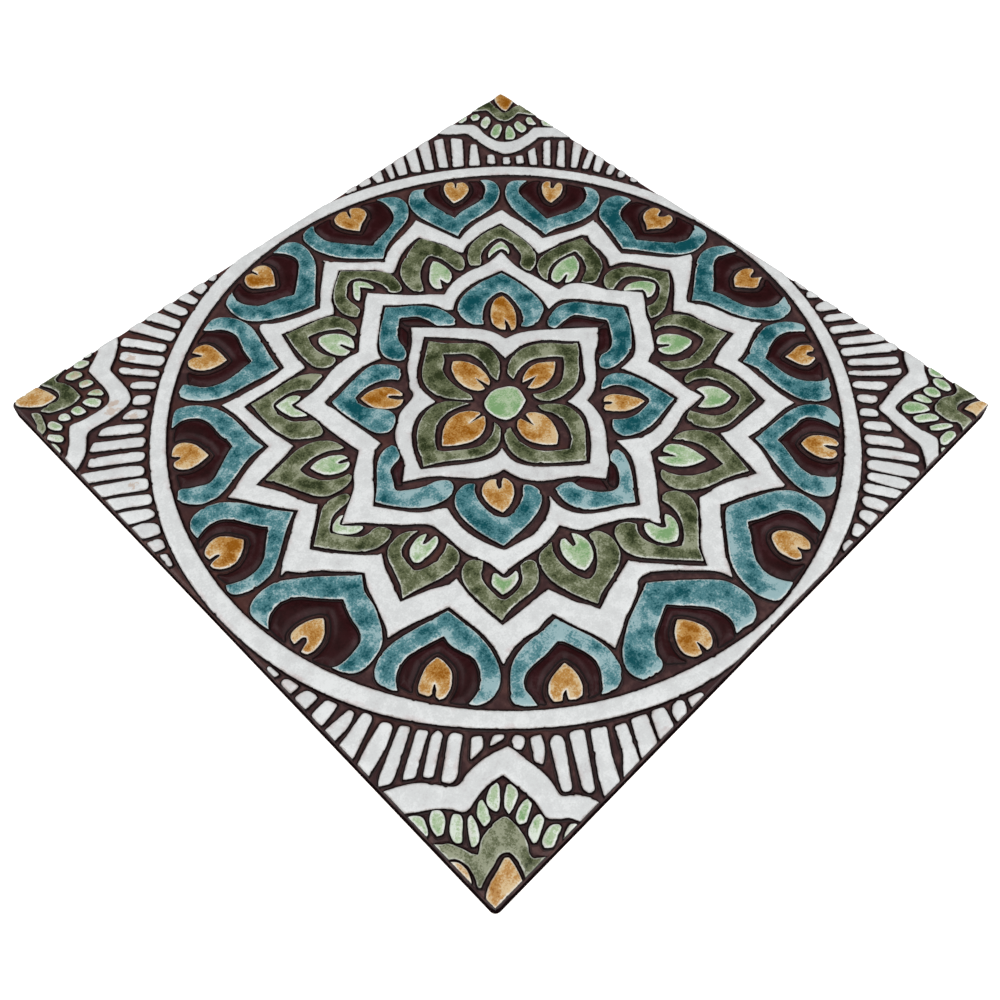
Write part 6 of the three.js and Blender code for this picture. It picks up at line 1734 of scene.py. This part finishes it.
@dataclass
class TileBody:
    """The slab: a glazed face between the pads, dipped sides and a plain clay back."""

    name: str = "body"
    arris: float = 0.9
    back_arris: float = 0.8
    face_grid: float = 3.0
    side_points: int = 75
    arc_points: int = 6
    arris_steps: int = 3
    unevenness: float = 0.08
    back_lift: float = 0.05

    def _ring(self, inset: float) -> Loop:
        """Draws the tile's outline, or one inside it.

        Args:
            inset: how far inside it lies.

        Returns:
            The points of the rounded square.
        """
        half = SIDE / 2 - inset
        radius = max(CORNER_RADIUS - inset, 0.5)
        centre = half - radius
        points = []
        for quarter in range(4):
            turn = math.radians(90 * quarter)
            spin = np.array(
                [[math.cos(turn), -math.sin(turn)], [math.sin(turn), math.cos(turn)]]
            )
            edge = [(half, y) for y in np.linspace(-centre, centre, self.side_points)[:-1]]
            for step in range(self.arc_points):
                angle = math.radians(90 / self.arc_points * step)
                edge.append((centre + radius * math.cos(angle), centre + radius * math.sin(angle)))
            points += [spin @ np.array(p) for p in edge]
        return np.array(points)

    def _levels(self) -> list[tuple[float, float]]:
        """Walks up the side, round the arris of the back and that of the face.

        Returns:
            The inset and the height of each level.
        """
        angles = [math.pi / 2 / self.arris_steps * step for step in range(self.arris_steps + 1)]
        low = [(1 - math.sin(a), 1 - math.cos(a)) for a in angles]
        high = [(1 - math.cos(a), 1 - math.sin(a)) for a in angles]
        levels = [(self.back_arris * inset, self.back_arris * rise) for inset, rise in low]
        return levels + [(self.arris * inset, FLOOR - self.arris * fall) for inset, fall in high]

    def _close(self, slab: Solid, level: int, height: float, is_face: bool) -> None:
        """Closes the face or the back with a slightly uneven sheet.

        Args:
            slab: the slab, with the rings of all its levels.
            level: which of them bounds the sheet.
            height: how high it lies.
            is_face: whether it is the face.
        """
        size = len(self._ring(0.0))
        start = level * size
        ring = np.array(slab.verts[start : start + size])[:, :2]
        across = np.arange(-SIDE / 2 + self.face_grid, SIDE / 2 - self.face_grid / 2, self.face_grid)
        fill = np.stack(np.meshgrid(across, across), -1).reshape(-1, 2)
        fill = fill[np.abs(fill).max(axis=1) < SIDE / 2 - self.face_grid * 0.9]
        flat, inner = triangles(np.concatenate([ring, fill]), [ring])
        base = len(slab.verts)
        uneven = self.unevenness * ripple(flat[size:], *SLAB)
        lift = uneven - self.unevenness if is_face else self.back_lift + uneven * 0.5
        slab.verts += [(x, y, height + rise) for (x, y), rise in zip(flat[size:], lift)]
        for f in inner:
            face = tuple(start + int(v) if v < size else base + int(v) - size for v in f)
            slab.faces.append(face if is_face else face[::-1])

    def build(self, material: bpy.types.Material) -> bpy.types.Object:
        """Makes the slab's mesh.

        Args:
            material: its finish.

        Returns:
            The object, in place.
        """
        slab = Solid()
        levels = self._levels()
        for inset, height in levels:
            slab.verts += [(x, y, height) for x, y in self._ring(inset)]
        size = len(slab.verts) // len(levels)
        for level in range(len(levels) - 1):
            low, high = level * size, (level + 1) * size
            for k in range(size):
                n = (k + 1) % size
                slab.faces.append((low + k, low + n, high + n, high + k))
        self._close(slab, len(levels) - 1, FLOOR, True)
        self._close(slab, 0, 0.0, False)
        slab.edge = [0.0] * len(slab.verts)
        slab.tone = [0.5] * len(slab.verts)
        return slab.to_object(self.name, material)


def body_material() -> bpy.types.Material:
    """Dark brown glaze on the face and sides, with the sides painted near-black as painted shade, and
    bare buff clay under the tile.

    Returns:
        The material.
    """
    kit = Kit("body_glaze")
    height = kit.node("ShaderNodeSeparateXYZ", {}, {"Vector": kit.place()}, "Z") * METRE
    blotch = kit.noise(5.0, 4.0, 0.6, 4.0)
    grain = kit.noise(0.7, 3.0, 0.6, 6.0)
    face = (height + (blotch - 0.5) * 1.2).between(FLOOR - 1.0, FLOOR - 0.3)
    # the sides get a near-black copy of the face's glaze: painted shade
    glaze = kit.mix(face, SIDE_GLAZE_PAINTED_SHADE, groove_color(kit))
    clay = kit.mix(grain.between(0.3, 0.7), tint(168, 140, 112), tint(192, 166, 138))
    bare = 1 - (height + (blotch - 0.5) * 0.9).between(0.45, 0.8)
    color = kit.mix(bare, glaze, clay)
    gloss = (1 - face) * 0.35 + ((blotch - 0.5) * 0.2 + 0.3)
    relief = kit.noise(2.6, 3.0, 0.5, 8.0) * 0.7 + grain * 0.3
    return kit.finish(
        {
            "Base Color": color,
            "Roughness": gloss,
            "Normal": kit.bump(0.5, 0.25, relief),
            "Specular IOR Level": 0.0,
            "Coat Weight": face * 0.3,
            "Coat Roughness": 0.12,
            "IOR": GLAZE_IOR,
        }
    )


def strayed(radius: float, stray: Sequence[float], angles: np.ndarray) -> Loop:
    """A circle that strays by hand.

    Args:
        radius: the circle's radius.
        stray: how far it strays at even steps round it, smooth between them.
        angles: where its points are wanted, in radians.

    Returns:
        The points.
    """
    count = len(stray)
    at = angles / (2 * math.pi) * count
    first = np.floor(at).astype(int)
    t = at - first
    a, b, c, d = (np.array(stray)[(first + k) % count] for k in (-1, 0, 1, 2))
    bend = 2 * a - 5 * b + 4 * c - d + t * (3 * (b - c) + d - a)
    reach = radius + b + t / 2 * (c - a + t * bend)
    return np.stack([reach * np.cos(angles), reach * np.sin(angles)], -1)


def ring_loops() -> list[Loop]:
    """Draws the white ring round the rosette, cut off by the tile's sides.

    Returns:
        Its outer and inner edges.
    """
    angles = np.radians(np.arange(0, 360, 0.3))
    outer = strayed(RING_RADIUS, OUTER_STRAY, angles)
    outer *= np.minimum(1, PAD_LIMIT / np.abs(outer).max(axis=1))[:, None]
    inner = strayed(RING_RADIUS - RING_WIDTH, INNER_STRAY, angles)
    return [wound(outer), wound(inner, False)]


def build_fields() -> list[PadField]:
    """Gathers every pad into fields, one for each glaze and two for the white.

    Returns:
        The fields.
    """
    bands = PadField("white_bands", Glaze.WHITE, grid=4.0)
    bands.pads.append(ring_loops())
    bands.band(STAR16_OUTER, STAR16_INNER)
    bands.band(STAR8_OUTER, STAR8_INNER)
    bands.band(STAR4_OUTER, STAR4_INNER)
    bands.outlines(CORNER_BANDS)
    spokes = PadField("white_spokes", Glaze.WHITE, round_off=0.85, nick=1.0)
    spokes.pads += [[wound(read_outline(text))] for text in SPOKES]
    teal = PadField("teal_petals", Glaze.TEAL)
    teal.outlines(TEAL_OUTER + TEAL_INNER)
    leaf = PadField("leaf_petals", Glaze.LEAF)
    leaf.outlines(LEAVES)
    mint = PadField("mint_drops", Glaze.MINT, round_off=0.4, nick=0.5)
    mint.outlines(MINT_DROPS)
    amber = PadField("amber_drops", Glaze.AMBER, nick=0.5)
    amber.outlines(AMBER_OUTER + AMBER_INNER)
    oxblood = PadField(
        "oxblood_petals",
        Glaze.OXBLOOD,
        Shoulder(radius=3.0, shoulder=0.82),
        round_off=0.5,
        rings=(0.3, 0.8, 1.4, 2.1, 3.0),
    )
    for petal, drop in zip(OXBLOOD_OUTER, AMBER_OUTER):
        outer = spaced(wound(softened(read_outline(petal))), MOAT_STEP)
        core = spaced(hull(softened(read_outline(drop))), MOAT_STEP)
        moat = core - normals(core) * MOAT
        oxblood.pads.append(without(outer, moat))
    oxblood.outlines(OXBLOOD_INNER)
    return [bands, spokes, teal, leaf, mint, amber, oxblood]


@dataclass(frozen=True)
class Lamp:
    """A soft round light that faces the tile, in metres and watts."""

    name: str
    place: tuple[float, float, float]
    size: float
    watts: float

    def hang(self) -> None:
        """Adds the light to the scene."""
        data = bpy.data.lights.new(self.name, "AREA")
        data.shape = "DISK"
        data.size = self.size
        data.energy = self.watts
        made = bpy.data.objects.new(self.name, data)
        made.location = Vector(self.place)
        made.rotation_euler = (-Vector(self.place)).to_track_quat("-Z", "Y").to_euler()
        bpy.context.scene.collection.objects.link(made)


LAMPS = (
    Lamp("left", (-0.7, 1.0, 1.3), 1.2, 11.0),
    Lamp("right", (1.0, -0.9, 1.3), 1.4, 16.0),
    Lamp("front", (-0.9, -0.9, 1.4), 1.4, 15.5),
    Lamp("top", (-0.2, -0.2, 1.9), 1.4, 8.5),
)


@dataclass(frozen=True)
class Studio:
    """The floor, the soft lights and the camera."""

    sky_light: float = 0.07
    floor_glow: float = 0.45
    floor_reach: float = 12.0
    lens: float = 40.55
    camera_at: tuple[float, float, float] = (-211.8, -216.9, 392.0)
    aim: tuple[float, float, float] = (-35.1, -36.2, 9.0)
    roll: float = -0.0074

    def camera(self) -> None:
        """Stands the camera where the photograph was taken from."""
        data = bpy.data.cameras.new("camera")
        data.lens = self.lens
        data.sensor_width = 36.0
        data.clip_start = 0.01
        made = bpy.data.objects.new("camera", data)
        way = (Vector(self.aim) - Vector(self.camera_at)).normalized()
        made.matrix_world = way.to_track_quat("-Z", "Y").to_matrix().to_4x4()
        made.rotation_euler.rotate_axis("Z", self.roll)
        made.location = Vector(self.camera_at) * MM
        bpy.context.scene.collection.objects.link(made)
        bpy.context.scene.camera = made

    def floor(self) -> None:
        """Lays a plain white floor."""
        mesh = bpy.data.meshes.new("floor")
        far = self.floor_reach
        mesh.from_pydata(
            [(-far, -far, 0), (far, -far, 0), (far, far, 0), (-far, far, 0)], [], [(0, 1, 2, 3)]
        )
        kit = Kit("floor")
        grain = kit.noise(40.0)
        shade = kit.mix(grain, (0.93, 0.93, 0.93, 1), (0.95, 0.95, 0.95, 1))
        mesh.materials.append(
            kit.finish(
                {
                    "Base Color": shade,
                    "Roughness": 0.9,
                    "Specular IOR Level": 0.1,
                    "Emission Color": (1.0, 1.0, 1.0, 1.0),
                    "Emission Strength": self.floor_glow,
                }
            )
        )
        made = bpy.data.objects.new("floor", mesh)
        bpy.context.scene.collection.objects.link(made)

    def sky(self) -> None:
        """Fills the room with even white light."""
        world = bpy.data.worlds.new("room")
        world.use_nodes = True
        back = world.node_tree.nodes["Background"]
        back.inputs["Color"].default_value = (1, 1, 1, 1)
        back.inputs["Strength"].default_value = self.sky_light
        bpy.context.scene.world = world

    def build(self) -> None:
        """Sets the whole studio."""
        self.floor()
        self.sky()
        for lamp in LAMPS:
            lamp.hang()
        self.camera()
        bpy.context.scene.view_settings.view_transform = "Standard"


def main() -> None:
    """Builds the tile, its finishes and the studio."""
    logging.basicConfig(level=logging.INFO)
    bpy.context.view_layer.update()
    body = TileBody().build(body_material())
    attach(body, "root")
    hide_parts("tile")
    LOG.info("body: %d faces", len(body.data.polygons))
    for pads in build_fields():
        made = pads.build(LOOKS[pads.glaze].material(pads.glaze.value))
        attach(made, "root")
        LOG.info("%s: %d pads, %d faces", made.name, len(pads.pads), len(made.data.polygons))
    Studio().build()
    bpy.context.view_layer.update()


if __name__ == "__main__":
    main()
